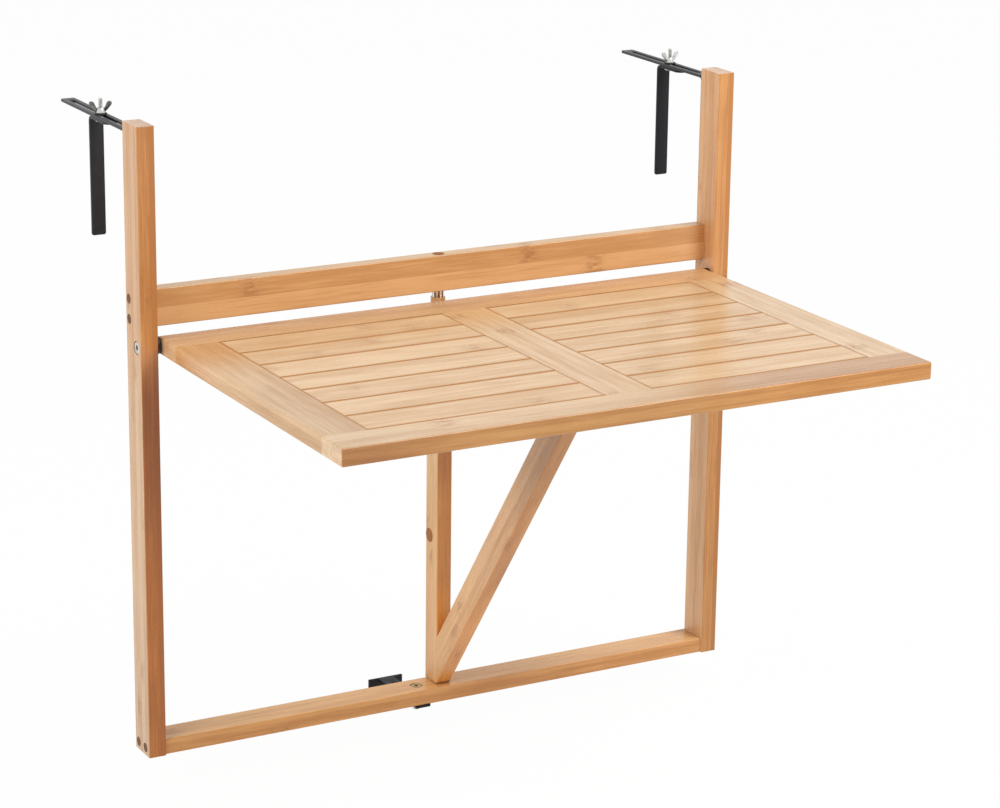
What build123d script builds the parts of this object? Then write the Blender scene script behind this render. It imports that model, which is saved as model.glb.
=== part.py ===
from build123d import *
import math
import os

# A folding table that hangs on a balcony railing, in millimetres.
# X runs to the right, Y to the rear (towards the railing) and Z up.
# The origin is the middle of the line where the two slotted bars lie on the railing:
# Y = 0 is the rear face of the bracket legs and Z = 0 the underside of the bars.

# Upright frame: two posts, an upper and a lower rail
POST_HEIGHT = 618.5
POST_WIDTH = 17.5
POST_DEPTH = 35.0
POST_ABOVE_BAR = 8.0
UPPER_RAIL_HEIGHT = 36.4
UPPER_RAIL_THICKNESS = 15.2
UPPER_RAIL_ABOVE_TABLE = 7.1
LOWER_RAIL_HEIGHT = 15.5
LOWER_RAIL_SETBACK = 2.0
EDGE_ROUND = 1.2
DOWEL_DIAMETER = 9.5
DOWEL_GRIP = 25.0
UPPER_DOWEL_SPACING = 19.5
LOWER_DOWEL_SPACING = 17.0

# Table top: a framed panel of slats
TABLE_WIDTH = 600.0
TABLE_DEPTH = 400.0
TABLE_THICKNESS = 16.6
TABLE_LEVEL = 416.5
SIDE_GAP = 4.7
FRONT_RAIL_WIDTH = 39.0
REAR_RAIL_WIDTH = 49.5
STILE_WIDTH = 42.5
CENTRE_STILE_WIDTH = 46.5
SLATS_PER_PANEL = 7
SLAT_GAP = 1.5
SLAT_THICKNESS = 12.0
SLAT_EDGE_BREAK = 0.8
TABLE_EDGE_ROUND = 1.6
TENON_LENGTH = 8.0
TENON_THICKNESS = 5.0
TENON_SHOULDER = 8.0

# Table pivots: a bolt through each post into an insert in the table's rear rail
PIVOT_SETBACK = 10.8
PIVOT_BOLT_DIAMETER = 6.0
PIVOT_BOLT_IN_TABLE = 24.0
PIVOT_HEAD_DIAMETER = 12.5
PIVOT_HEAD_HEIGHT = 3.5
PIVOT_HEAD_RECESS = 0.5
PIVOT_HEAD_CHAMFER = 0.6
PIVOT_HEX_ACROSS_FLATS = 5.0
PIVOT_HEX_DEPTH = 2.2
PIVOT_INSERT_WALL = 1.5
PIVOT_WASHER_DIAMETER = 16.0

# Gate leg: an upright, a top rail and a brace that swing as one under the table
GATE_OFFSET = 2.4
GATE_THICKNESS = 16.0
GATE_DEPTH = 25.0
GATE_TOP_RAIL_HEIGHT = 25.0
GATE_TOP_GAP = 0.3
GATE_LIFT = 1.0
GATE_SWING_GAP = 12.7
BRACE_DEPTH = 30.0
BRACE_TOE = 7.7
BRACE_HEEL = 0.5
GATE_DOWEL_DIAMETER = 14.5
GATE_DOWEL_GRIP = 25.0
GATE_PIN_DIAMETER = 12.0
GATE_PIN_SHOWS = 6.9
GATE_PIN_CHAMFER = 0.6
GATE_PIN_SPIGOT_DIAMETER = 8.0
GATE_PIN_SPIGOT_LENGTH = 14.0
GATE_PIN_BELOW_RAIL_TOP = 4.0
GATE_FOOT_PIN_DIAMETER = 8.0
GATE_FOOT_PIN_LENGTH = 10.0
GATE_WASHER_DIAMETER = 15.0
GATE_WASHER_THICKNESS = 0.8
GATE_PLUG_HEIGHT = 170.7
GATE_PLUG_DEPTH = 10.0

# Flat steel straps: brackets on the posts, clamp hooks and the lower spacer
STRAP_THICKNESS = 2.5
STRAP_WIDTH = 14.0
STRAP_CORNER = 2.0
BEND_RADIUS = 3.0
BAR_LENGTH = 161.0
SLOT_SIDE_PLAY = 0.3
SLOT_FRONT_MARGIN = 14.0
SLOT_REAR_MARGIN = 12.0
SCREWS_PER_LEG = 2
SCREW_DIAMETER = 4.0
SCREW_HEAD_DIAMETER = 8.0
SCREW_GRIP = 18.0
SCREW_BELOW_BAR = 20.0
SCREW_TO_DOWEL = 7.3
LEG_PAST_SCREW = 10.5

# Clamp hooks, each with a carriage bolt, a washer and a wing nut
HOOK_THROAT = 83.0
HOOK_DROP = 116.5
HOOK_TONGUE = 39.5
HOOK_BOLT_SETBACK = 11.0
HOOK_TIP_FLAT = 0.4
HOOK_BOLT_DIAMETER = 4.0
HOOK_BOLT_CHAMFER = 0.6
HOOK_BOLT_RISE = 15.5
HOOK_NECK_SIDE = 4.2
HOOK_HEAD_DIAMETER = 11.0
HOOK_HEAD_HEIGHT = 2.8
HOOK_HEAD_SLOPE = 2.0
HOOK_WASHER_DIAMETER = 12.0
HOOK_WASHER_THICKNESS = 1.0
WING_SPAN = 21.5
WING_HEIGHT = 11.0
WING_THICKNESS = 2.0
WING_ROOT_HEIGHT = 1.0
WING_TIP_HEIGHT = 3.6
WING_TOP_LENGTH = 2.8
WING_TIP_ROUND = 1.2
WING_NECK = 0.8
WING_HUB_DIAMETER = 8.5
WING_HUB_TOP_DIAMETER = 7.0
WING_HUB_HEIGHT = 5.0
LEFT_NUT_TURN = -15.0
RIGHT_NUT_TURN = 8.0

# Lower spacer: a slotted bar under the lower rail with a bearing plate at its rear
SPACER_OFFSET = -24.2
SPACER_WIDTH = 17.0
SPACER_TAIL = 17.0
SPACER_REACH = 52.0
SPACER_PLATE_WIDTH = 38.0
SPACER_PLATE_HEIGHT = 30.0
SPACER_PLATE_CORNER = 4.0
SPACER_SLOT_PLAY = 0.3
SPACER_SLOT_MARGIN = 7.0
SPACER_SLOT_TO_PLATE = 16.0
SPACER_BOLT_DIAMETER = 6.0
SPACER_HEAD_DIAMETER = 12.0
SPACER_HEAD_HEIGHT = 2.6
SPACER_HEAD_CHAMFER = 0.6
SPACER_HEX_ACROSS_FLATS = 4.0
SPACER_HEX_DEPTH = 1.8
SPACER_BOLT_PROUD = 1.5
SPACER_WASHER_DIAMETER = 12.0
SPACER_WASHER_THICKNESS = 1.2
SPACER_NUT_ACROSS_FLATS = 10.0
SPACER_NUT_HEIGHT = 4.0

# Fits
GLUE_GAP = 0.05
RUNNING_GAP = 0.05
SLIDE_GAP = 0.1
WASHER_GAP = 0.25
HEAD_GAP = 0.4

# How far a cut runs past a face, and how near a face an edge lies to count as on it
CUT_PAST = 1.0
EDGE_NEAR = 0.5

# Places worked out from the sizes above
REAR = -STRAP_THICKNESS
FRONT = REAR - POST_DEPTH
POST_TOP = STRAP_THICKNESS + POST_ABOVE_BAR
BASE = POST_TOP - POST_HEIGHT
TABLE_TOP = BASE + TABLE_LEVEL
TABLE_UNDER = TABLE_TOP - TABLE_THICKNESS
TABLE_SIDE = TABLE_WIDTH / 2
POST_INNER = TABLE_SIDE + SIDE_GAP
POST_OUTER = POST_INNER + POST_WIDTH
POST_MIDDLE = (POST_INNER + POST_OUTER) / 2
PIVOT_Y = FRONT + PIVOT_SETBACK
PIVOT_Z = (TABLE_TOP + TABLE_UNDER) / 2
TABLE_REAR = PIVOT_Y + TABLE_THICKNESS / 2
TABLE_FRONT = TABLE_REAR - TABLE_DEPTH
UPPER_RAIL_BOTTOM = TABLE_TOP + UPPER_RAIL_ABOVE_TABLE
UPPER_RAIL_TOP = UPPER_RAIL_BOTTOM + UPPER_RAIL_HEIGHT
UPPER_RAIL_FRONT = REAR - UPPER_RAIL_THICKNESS
LOWER_RAIL_TOP = BASE + LOWER_RAIL_HEIGHT
LOWER_RAIL_FRONT = FRONT + LOWER_RAIL_SETBACK
LOWER_RAIL_MIDDLE = (LOWER_RAIL_FRONT + REAR) / 2
GATE_AXIS_Y = (UPPER_RAIL_FRONT + REAR) / 2
GATE_AXIS = (GATE_OFFSET, GATE_AXIS_Y)
GATE_TOP = TABLE_UNDER - GATE_TOP_GAP
GATE_BOTTOM = LOWER_RAIL_TOP + GATE_LIFT
GATE_POST_FRONT = REAR - GATE_DEPTH
GATE_LEFT = GATE_OFFSET - GATE_THICKNESS / 2
GATE_RIGHT = GATE_OFFSET + GATE_THICKNESS / 2
GATE_RAIL_UNDER = GATE_TOP - GATE_TOP_RAIL_HEIGHT
GATE_DOWEL_LOW = GATE_TOP - GATE_DOWEL_GRIP
GATE_DOWEL_HIGH = UPPER_RAIL_BOTTOM - GATE_PIN_SHOWS
GATE_SPIGOT_END = GATE_DOWEL_HIGH - GATE_PIN_SPIGOT_LENGTH
GATE_FOOT_TOP = GATE_BOTTOM + GATE_FOOT_PIN_LENGTH
GATE_PLUG_Z = BASE + GATE_PLUG_HEIGHT
GATE_END = GATE_AXIS_Y - (POST_INNER - abs(GATE_OFFSET) - GATE_SWING_GAP)
SPACER_BOLT_PLACE = (SPACER_OFFSET, LOWER_RAIL_MIDDLE)
BAR_END = REAR + BAR_LENGTH
HOOK_BOLT_Y = HOOK_THROAT - HOOK_BOLT_SETBACK
NUT_SEAT = STRAP_THICKNESS + SLIDE_GAP + HOOK_WASHER_THICKNESS + SLIDE_GAP


def block(x_range, y_range, z_range):
    """A box between two values on each axis."""
    spans = [(min(r), max(r)) for r in (x_range, y_range, z_range)]
    middle = [(low + high) / 2 for low, high in spans]
    size = [high - low for low, high in spans]
    return Pos(*middle) * Box(*size)


def rod_along_x(x_range, y, z, diameter):
    """A round bar along X."""
    low, high = min(x_range), max(x_range)
    return Pos((low + high) / 2, y, z) * Rot(0, 90, 0) * Cylinder(diameter / 2, high - low)


def rod_along_z(x, y, z_range, diameter):
    """A round bar along Z."""
    low, high = min(z_range), max(z_range)
    return Pos(x, y, (low + high) / 2) * Cylinder(diameter / 2, high - low)


def hex_prism(x, y, z_range, across_flats):
    """An upright six-sided bar."""
    low, high = min(z_range), max(z_range)
    face = RegularPolygon(across_flats / 2, 6, major_radius=False)
    return Pos(x, y, low) * extrude(face, high - low)


def rounded_lengthways(solid, axis, radius):
    """Rounds the edges that run along one axis."""
    return fillet(solid.edges().filter_by(axis), radius)


def mirrored(solid):
    """The same piece on the other side of the table."""
    return mirror(solid, about=Plane.YZ)


def dowel_places():
    """(y, z) of the upper rail's two dowels, then of the lower rail's two."""
    upper_z = (UPPER_RAIL_BOTTOM + UPPER_RAIL_TOP) / 2
    lower_z = (BASE + LOWER_RAIL_TOP) / 2
    upper = [(GATE_AXIS_Y, upper_z + side * UPPER_DOWEL_SPACING / 2) for side in (1, -1)]
    lower = [(LOWER_RAIL_MIDDLE + side * LOWER_DOWEL_SPACING / 2, lower_z) for side in (1, -1)]
    return upper, lower


def screw_heights():
    """Heights of the wood screws in a bracket leg."""
    top = -SCREW_BELOW_BAR
    upper, _ = dowel_places()
    lowest_dowel = min(z for _, z in upper)
    bottom = lowest_dowel - DOWEL_DIAMETER / 2 - SCREW_TO_DOWEL - SCREW_DIAMETER / 2
    step = (top - bottom) / (SCREWS_PER_LEG - 1)
    return [top - step * number for number in range(SCREWS_PER_LEG)]


def make_posts():
    """A post with its dowel bores, counterbored pivot hole and screw pilots."""
    post = block((-POST_OUTER, -POST_INNER), (FRONT, REAR), (BASE, POST_TOP))
    post = rounded_lengthways(post, Axis.Z, EDGE_ROUND)
    through = (-POST_OUTER - CUT_PAST, -POST_INNER + CUT_PAST)
    upper, lower = dowel_places()
    for y, z in upper + lower:
        post -= rod_along_x(through, y, z, DOWEL_DIAMETER + 2 * GLUE_GAP)
    post -= rod_along_x(through, PIVOT_Y, PIVOT_Z, PIVOT_BOLT_DIAMETER + 2 * RUNNING_GAP)
    recess_end = -POST_OUTER + PIVOT_HEAD_RECESS + PIVOT_HEAD_HEIGHT
    recess_diameter = PIVOT_HEAD_DIAMETER + 2 * HEAD_GAP
    post -= rod_along_x((-POST_OUTER - CUT_PAST, recess_end), PIVOT_Y, PIVOT_Z, recess_diameter)
    for z in screw_heights():
        pilot = Cylinder((SCREW_DIAMETER + 2 * GLUE_GAP) / 2, SCREW_GRIP + CUT_PAST)
        post -= Pos(-POST_MIDDLE, REAR - (SCREW_GRIP + CUT_PAST) / 2, z) * Rot(90, 0, 0) * pilot
    return {"left_post": post, "right_post": mirrored(post)}


def make_rails():
    """The two rails between the posts."""
    between = (-POST_INNER, POST_INNER)
    upper = block(between, (UPPER_RAIL_FRONT, REAR), (UPPER_RAIL_BOTTOM, UPPER_RAIL_TOP))
    upper = rounded_lengthways(upper, Axis.X, EDGE_ROUND)
    lower = block(between, (LOWER_RAIL_FRONT, REAR), (BASE, LOWER_RAIL_TOP))
    lower = rounded_lengthways(lower, Axis.X, EDGE_ROUND)
    upper_dowels, lower_dowels = dowel_places()
    for side in (-1, 1):
        grip = (side * (POST_INNER + CUT_PAST), side * (POST_INNER - DOWEL_GRIP - GLUE_GAP))
        for y, z in upper_dowels:
            upper -= rod_along_x(grip, y, z, DOWEL_DIAMETER + 2 * GLUE_GAP)
        for y, z in lower_dowels:
            lower -= rod_along_x(grip, y, z, DOWEL_DIAMETER + 2 * GLUE_GAP)
    pin_bore = GATE_PIN_DIAMETER + 2 * RUNNING_GAP
    upper -= rod_along_z(*GATE_AXIS, (UPPER_RAIL_BOTTOM - CUT_PAST, UPPER_RAIL_TOP + CUT_PAST), pin_bore)
    foot_bore = GATE_FOOT_PIN_DIAMETER + 2 * RUNNING_GAP
    foot_end = LOWER_RAIL_TOP - GATE_FOOT_PIN_LENGTH
    lower -= rod_along_z(*GATE_AXIS, (foot_end, LOWER_RAIL_TOP + CUT_PAST), foot_bore)
    bolt_hole = SPACER_BOLT_DIAMETER + 2 * GLUE_GAP
    lower -= rod_along_z(*SPACER_BOLT_PLACE, (BASE - CUT_PAST, LOWER_RAIL_TOP + CUT_PAST), bolt_hole)
    head_floor = LOWER_RAIL_TOP - SPACER_HEAD_HEIGHT
    head_recess = SPACER_HEAD_DIAMETER + 2 * HEAD_GAP
    lower -= rod_along_z(*SPACER_BOLT_PLACE, (head_floor, LOWER_RAIL_TOP + CUT_PAST), head_recess)
    return {"upper_rail": upper, "lower_rail": lower}


def make_dowels():
    """Pairs of dowels that run through a post into a rail, with their ends flush outside."""
    nodes = {}
    upper, lower = dowel_places()
    reach = (-POST_OUTER, -POST_INNER + DOWEL_GRIP)
    for name, places in (("upper", upper), ("lower", lower)):
        pair = [rod_along_x(reach, y, z, DOWEL_DIAMETER) for y, z in places]
        nodes[f"left_{name}_dowels"] = Compound(pair)
        nodes[f"right_{name}_dowels"] = Compound([mirrored(dowel) for dowel in pair])
    return nodes


def tenon(x_range, y_range, gap=0.0):
    """A tongue at mid thickness, or with a gap the mortise that takes it."""
    half = TENON_THICKNESS / 2 + gap
    wide = (min(y_range) - gap, max(y_range) + gap)
    long = (min(x_range) - gap, max(x_range) + gap)
    return block(long, wide, (PIVOT_Z - half, PIVOT_Z + half))


def slat_rows():
    """The front and rear edge of each slat, from the rear of the table forwards."""
    rear = TABLE_REAR - REAR_RAIL_WIDTH
    front = TABLE_FRONT + FRONT_RAIL_WIDTH
    width = (rear - front - (SLATS_PER_PANEL + 1) * SLAT_GAP) / SLATS_PER_PANEL
    starts = [rear - SLAT_GAP - row * (width + SLAT_GAP) for row in range(SLATS_PER_PANEL)]
    return [(start - width, start) for start in starts]


def stile_spans():
    """The left and right side of the three stiles."""
    inner = TABLE_SIDE - STILE_WIDTH
    centre = CENTRE_STILE_WIDTH / 2
    return {
        "left_stile": (-TABLE_SIDE, -inner),
        "centre_stile": (-centre, centre),
        "right_stile": (inner, TABLE_SIDE),
    }


def make_table_frame():
    """Two rails across the full width, the rear one round about the pivot, and three stiles between."""
    rear_line = TABLE_REAR - REAR_RAIL_WIDTH
    front_line = TABLE_FRONT + FRONT_RAIL_WIDTH
    height = (TABLE_UNDER, TABLE_TOP)
    across = (-TABLE_SIDE, TABLE_SIDE)
    front = block(across, (TABLE_FRONT, front_line), height)
    front = fillet(front.edges().filter_by(lambda e: e.center().Y < front_line - EDGE_NEAR), TABLE_EDGE_ROUND)
    rear = block(across, (rear_line, PIVOT_Y), height)
    rear += rod_along_x(across, PIVOT_Y, PIVOT_Z, TABLE_THICKNESS)
    ends = rear.edges().filter_by(lambda e: abs(e.center().X) > TABLE_SIDE - EDGE_NEAR)
    ends = ends.filter_by(lambda e: e.center().Y > rear_line + EDGE_NEAR)
    rear = fillet(ends, TABLE_EDGE_ROUND)
    stiles = {}
    for name, (left, right) in stile_spans().items():
        stile = block((left, right), (front_line, rear_line), height)
        outer = stile.edges().filter_by(Axis.Y)
        outer = outer.filter_by(lambda e: abs(e.center().X) > TABLE_SIDE - EDGE_NEAR)
        if outer:
            stile = fillet(outer, TABLE_EDGE_ROUND)
        tongue = (left + TENON_SHOULDER, right - TENON_SHOULDER)
        into_front = (front_line - TENON_LENGTH, front_line)
        into_rear = (rear_line, rear_line + TENON_LENGTH)
        stile += tenon(tongue, into_front)
        stile += tenon(tongue, into_rear)
        front -= tenon(tongue, into_front, GLUE_GAP)
        rear -= tenon(tongue, into_rear, GLUE_GAP)
        for slat_front, slat_rear in slat_rows():
            cheek = (slat_front + TENON_SHOULDER, slat_rear - TENON_SHOULDER)
            if left > -TABLE_SIDE:
                stile -= tenon((left - CUT_PAST, left + TENON_LENGTH), cheek, GLUE_GAP)
            if right < TABLE_SIDE:
                stile -= tenon((right - TENON_LENGTH, right + CUT_PAST), cheek, GLUE_GAP)
        stiles[name] = stile
    insert_bore = PIVOT_BOLT_DIAMETER + 2 * (GLUE_GAP + PIVOT_INSERT_WALL + GLUE_GAP)
    for side in (-1, 1):
        bore = (side * (TABLE_SIDE + CUT_PAST), side * (TABLE_SIDE - PIVOT_BOLT_IN_TABLE - CUT_PAST))
        rear -= rod_along_x(bore, PIVOT_Y, PIVOT_Z, insert_bore)
    return {"table_front_rail": front, "table_rear_rail": rear, **stiles}


def make_slats():
    """Seven tongued slats in each half of the table, flush with the frame on top."""
    nodes = {}
    spans = stile_spans()
    panels = {
        "left": (spans["left_stile"][1], spans["centre_stile"][0]),
        "right": (spans["centre_stile"][1], spans["right_stile"][0]),
    }
    for panel, (left, right) in panels.items():
        for row, (front, rear) in enumerate(slat_rows(), start=1):
            slat = block((left, right), (front, rear), (TABLE_TOP - SLAT_THICKNESS, TABLE_TOP))
            top_edges = slat.edges().filter_by(lambda e: e.center().Z > TABLE_TOP - EDGE_NEAR)
            slat = chamfer(top_edges, SLAT_EDGE_BREAK)
            cheek = (front + TENON_SHOULDER, rear - TENON_SHOULDER)
            slat += tenon((left - TENON_LENGTH, left), cheek)
            slat += tenon((right, right + TENON_LENGTH), cheek)
            nodes[f"{panel}_slat_{row}"] = slat
    return nodes


def make_table_pivots():
    """Bolts that turn in the posts, washers beside the table and the inserts that hold the bolts."""
    seat = -POST_OUTER + PIVOT_HEAD_RECESS - SLIDE_GAP
    head = rod_along_x((seat, seat + PIVOT_HEAD_HEIGHT), PIVOT_Y, PIVOT_Z, PIVOT_HEAD_DIAMETER)
    rim = head.edges().filter_by(GeomType.CIRCLE).sort_by(Axis.X)[0]
    head = chamfer(rim, PIVOT_HEAD_CHAMFER)
    shank = (seat + PIVOT_HEAD_HEIGHT, -TABLE_SIDE + PIVOT_BOLT_IN_TABLE)
    bolt = head + rod_along_x(shank, PIVOT_Y, PIVOT_Z, PIVOT_BOLT_DIAMETER)
    socket = extrude(RegularPolygon(PIVOT_HEX_ACROSS_FLATS / 2, 6, major_radius=False), PIVOT_HEX_DEPTH)
    bolt -= Pos(seat, PIVOT_Y, PIVOT_Z) * Rot(0, 90, 0) * socket
    washer_span = (-POST_INNER + WASHER_GAP, -TABLE_SIDE - WASHER_GAP)
    washer = rod_along_x(washer_span, PIVOT_Y, PIVOT_Z, PIVOT_WASHER_DIAMETER)
    bore = PIVOT_BOLT_DIAMETER + 2 * GLUE_GAP
    wide = (-POST_OUTER, 0)
    washer -= rod_along_x(wide, PIVOT_Y, PIVOT_Z, bore)
    insert_span = (-TABLE_SIDE, -TABLE_SIDE + PIVOT_BOLT_IN_TABLE)
    insert = rod_along_x(insert_span, PIVOT_Y, PIVOT_Z, bore + 2 * PIVOT_INSERT_WALL)
    insert -= rod_along_x(wide, PIVOT_Y, PIVOT_Z, bore)
    nodes = {}
    for name, solid in (("pivot_bolt", bolt), ("pivot_washer", washer), ("pivot_insert", insert)):
        nodes[f"left_{name}"] = solid
        nodes[f"right_{name}"] = mirrored(solid)
    return nodes


def gate_brace():
    """The slanted member between the gate's upright and its top rail."""
    toe = GATE_END + BRACE_TOE
    heel = GATE_BOTTOM + BRACE_HEEL
    lean = math.atan2(GATE_RAIL_UNDER - heel, GATE_POST_FRONT - toe)
    outline = Polyline(
        (GATE_POST_FRONT, heel),
        (toe, GATE_RAIL_UNDER),
        (toe + BRACE_DEPTH / math.sin(lean), GATE_RAIL_UNDER),
        (GATE_POST_FRONT, heel + BRACE_DEPTH / math.cos(lean)),
        close=True,
    )
    brace = Pos(GATE_LEFT, 0, 0) * extrude(Plane.YZ * make_face(outline), GATE_THICKNESS)
    along = Vector(0, -math.cos(lean), math.sin(lean))
    long_edges = brace.edges().filter_by(lambda e: abs((e % 0.5).dot(along)) > 0.999)
    return fillet(long_edges, EDGE_ROUND)


def make_gate():
    """The gate's three wooden members, with the bores of its dowel, foot pin and plug."""
    across = (GATE_LEFT, GATE_RIGHT)
    post = block(across, (GATE_POST_FRONT, REAR), (GATE_BOTTOM, GATE_TOP))
    post = rounded_lengthways(post, Axis.Z, EDGE_ROUND)
    dowel_bore = (GATE_DOWEL_LOW - GLUE_GAP, GATE_TOP + CUT_PAST)
    post -= rod_along_z(*GATE_AXIS, dowel_bore, GATE_DOWEL_DIAMETER + 2 * GLUE_GAP)
    foot_bore = (GATE_BOTTOM - CUT_PAST, GATE_FOOT_TOP + GLUE_GAP)
    post -= rod_along_z(*GATE_AXIS, foot_bore, GATE_FOOT_PIN_DIAMETER + 2 * GLUE_GAP)
    plug_bore = (GATE_LEFT - CUT_PAST, GATE_LEFT + GATE_PLUG_DEPTH + GLUE_GAP)
    post -= rod_along_x(plug_bore, GATE_AXIS_Y, GATE_PLUG_Z, GATE_DOWEL_DIAMETER + 2 * GLUE_GAP)
    top_rail = block(across, (GATE_END, GATE_POST_FRONT), (GATE_RAIL_UNDER, GATE_TOP))
    top_rail = rounded_lengthways(top_rail, Axis.Y, EDGE_ROUND)
    return {"gate_post": post, "gate_top_rail": top_rail, "gate_brace": gate_brace()}


def make_gate_pivots():
    """The gate's upper dowel and pin, its foot pin and washer, and the plug in its side."""
    dowel = rod_along_z(*GATE_AXIS, (GATE_DOWEL_LOW, GATE_DOWEL_HIGH), GATE_DOWEL_DIAMETER)
    spigot_bore = (GATE_SPIGOT_END - GLUE_GAP, GATE_DOWEL_HIGH + CUT_PAST)
    dowel -= rod_along_z(*GATE_AXIS, spigot_bore, GATE_PIN_SPIGOT_DIAMETER + 2 * GLUE_GAP)
    pin_top = UPPER_RAIL_TOP - GATE_PIN_BELOW_RAIL_TOP
    pin = rod_along_z(*GATE_AXIS, (GATE_DOWEL_HIGH, pin_top), GATE_PIN_DIAMETER)
    pin = chamfer(pin.edges().filter_by(GeomType.CIRCLE).sort_by(Axis.Z)[-1], GATE_PIN_CHAMFER)
    pin += rod_along_z(*GATE_AXIS, (GATE_SPIGOT_END, GATE_DOWEL_HIGH), GATE_PIN_SPIGOT_DIAMETER)
    foot_end = LOWER_RAIL_TOP - GATE_FOOT_PIN_LENGTH + GATE_LIFT
    foot = rod_along_z(*GATE_AXIS, (foot_end, GATE_FOOT_TOP), GATE_FOOT_PIN_DIAMETER)
    washer_range = (LOWER_RAIL_TOP, LOWER_RAIL_TOP + GATE_WASHER_THICKNESS)
    washer = rod_along_z(*GATE_AXIS, washer_range, GATE_WASHER_DIAMETER)
    washer_bore = GATE_FOOT_PIN_DIAMETER + 2 * RUNNING_GAP
    washer -= rod_along_z(*GATE_AXIS, (LOWER_RAIL_TOP - CUT_PAST, GATE_BOTTOM), washer_bore)
    plug_range = (GATE_LEFT, GATE_LEFT + GATE_PLUG_DEPTH)
    plug = rod_along_x(plug_range, GATE_AXIS_Y, GATE_PLUG_Z, GATE_DOWEL_DIAMETER)
    return {
        "gate_upper_dowel": dowel,
        "gate_pivot_pin": pin,
        "gate_foot_pin": foot,
        "gate_foot_washer": washer,
        "gate_side_plug": plug,
    }


def bend_edges(strap, inner, outer):
    """Rounds a strap's inner and outer corner, each given by its (y, z) place."""
    for (y, z), radius in ((inner, BEND_RADIUS), (outer, BEND_RADIUS + STRAP_THICKNESS)):
        corner = strap.edges().filter_by(Axis.X).sort_by_distance(Vector(0, y, z))[0]
        strap = fillet(corner, radius)
    return strap


def slot_cut(x, y_range, width, z_range):
    """The cutter of a round-ended slot along Y."""
    low, high = min(y_range), max(y_range)
    z_low, z_high = min(z_range), max(z_range)
    face = Rot(0, 0, 90) * SlotOverall(high - low, width)
    return Pos(x, (low + high) / 2, z_low) * extrude(face, z_high - z_low)


def make_brackets():
    """A slotted bar bent down into a leg that is screwed to the rear of a post."""
    bar = block((-STRAP_WIDTH / 2, STRAP_WIDTH / 2), (REAR, BAR_END), (0, STRAP_THICKNESS))
    leg_end = min(screw_heights()) - LEG_PAST_SCREW
    leg = block((-STRAP_WIDTH / 2, STRAP_WIDTH / 2), (REAR, 0), (leg_end, STRAP_THICKNESS))
    bracket = bend_edges(bar + leg, (0, 0), (REAR, STRAP_THICKNESS))
    ends = bracket.edges().filter_by(Axis.Z).filter_by(lambda e: e.center().Y > BAR_END - EDGE_NEAR)
    bracket = fillet(ends, STRAP_CORNER)
    feet = bracket.edges().filter_by(Axis.Y).filter_by(lambda e: e.center().Z < leg_end + EDGE_NEAR)
    bracket = fillet(feet, STRAP_CORNER)
    slot = (SLOT_FRONT_MARGIN, BAR_END - SLOT_REAR_MARGIN)
    slot_width = HOOK_BOLT_DIAMETER + 2 * SLOT_SIDE_PLAY
    bracket -= slot_cut(0, slot, slot_width, (-CUT_PAST, STRAP_THICKNESS + CUT_PAST))
    screws = []
    sink = (SCREW_HEAD_DIAMETER - SCREW_DIAMETER) / 2
    for z in screw_heights():
        head = Pos(0, -sink / 2, z) * Rot(90, 0, 0) * Cone(SCREW_HEAD_DIAMETER / 2, SCREW_DIAMETER / 2, sink)
        shank_length = STRAP_THICKNESS - sink + SCREW_GRIP
        shank = Cylinder(SCREW_DIAMETER / 2, shank_length)
        screws.append(head + Pos(0, -sink - shank_length / 2, z) * Rot(90, 0, 0) * shank)
        wide = Cone(SCREW_HEAD_DIAMETER / 2 + GLUE_GAP, SCREW_DIAMETER / 2 + GLUE_GAP, sink)
        bracket -= Pos(0, -sink / 2, z) * Rot(90, 0, 0) * wide
        hole = Cylinder(SCREW_DIAMETER / 2 + GLUE_GAP, STRAP_THICKNESS * 2)
        bracket -= Pos(0, REAR / 2, z) * Rot(90, 0, 0) * hole
    nodes = {}
    for name, x in (("left", -POST_MIDDLE), ("right", POST_MIDDLE)):
        nodes[f"{name}_bracket"] = Pos(x, 0, 0) * bracket
        nodes[f"{name}_bracket_screws"] = Compound([Pos(x, 0, 0) * screw for screw in screws])
    return nodes


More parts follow.
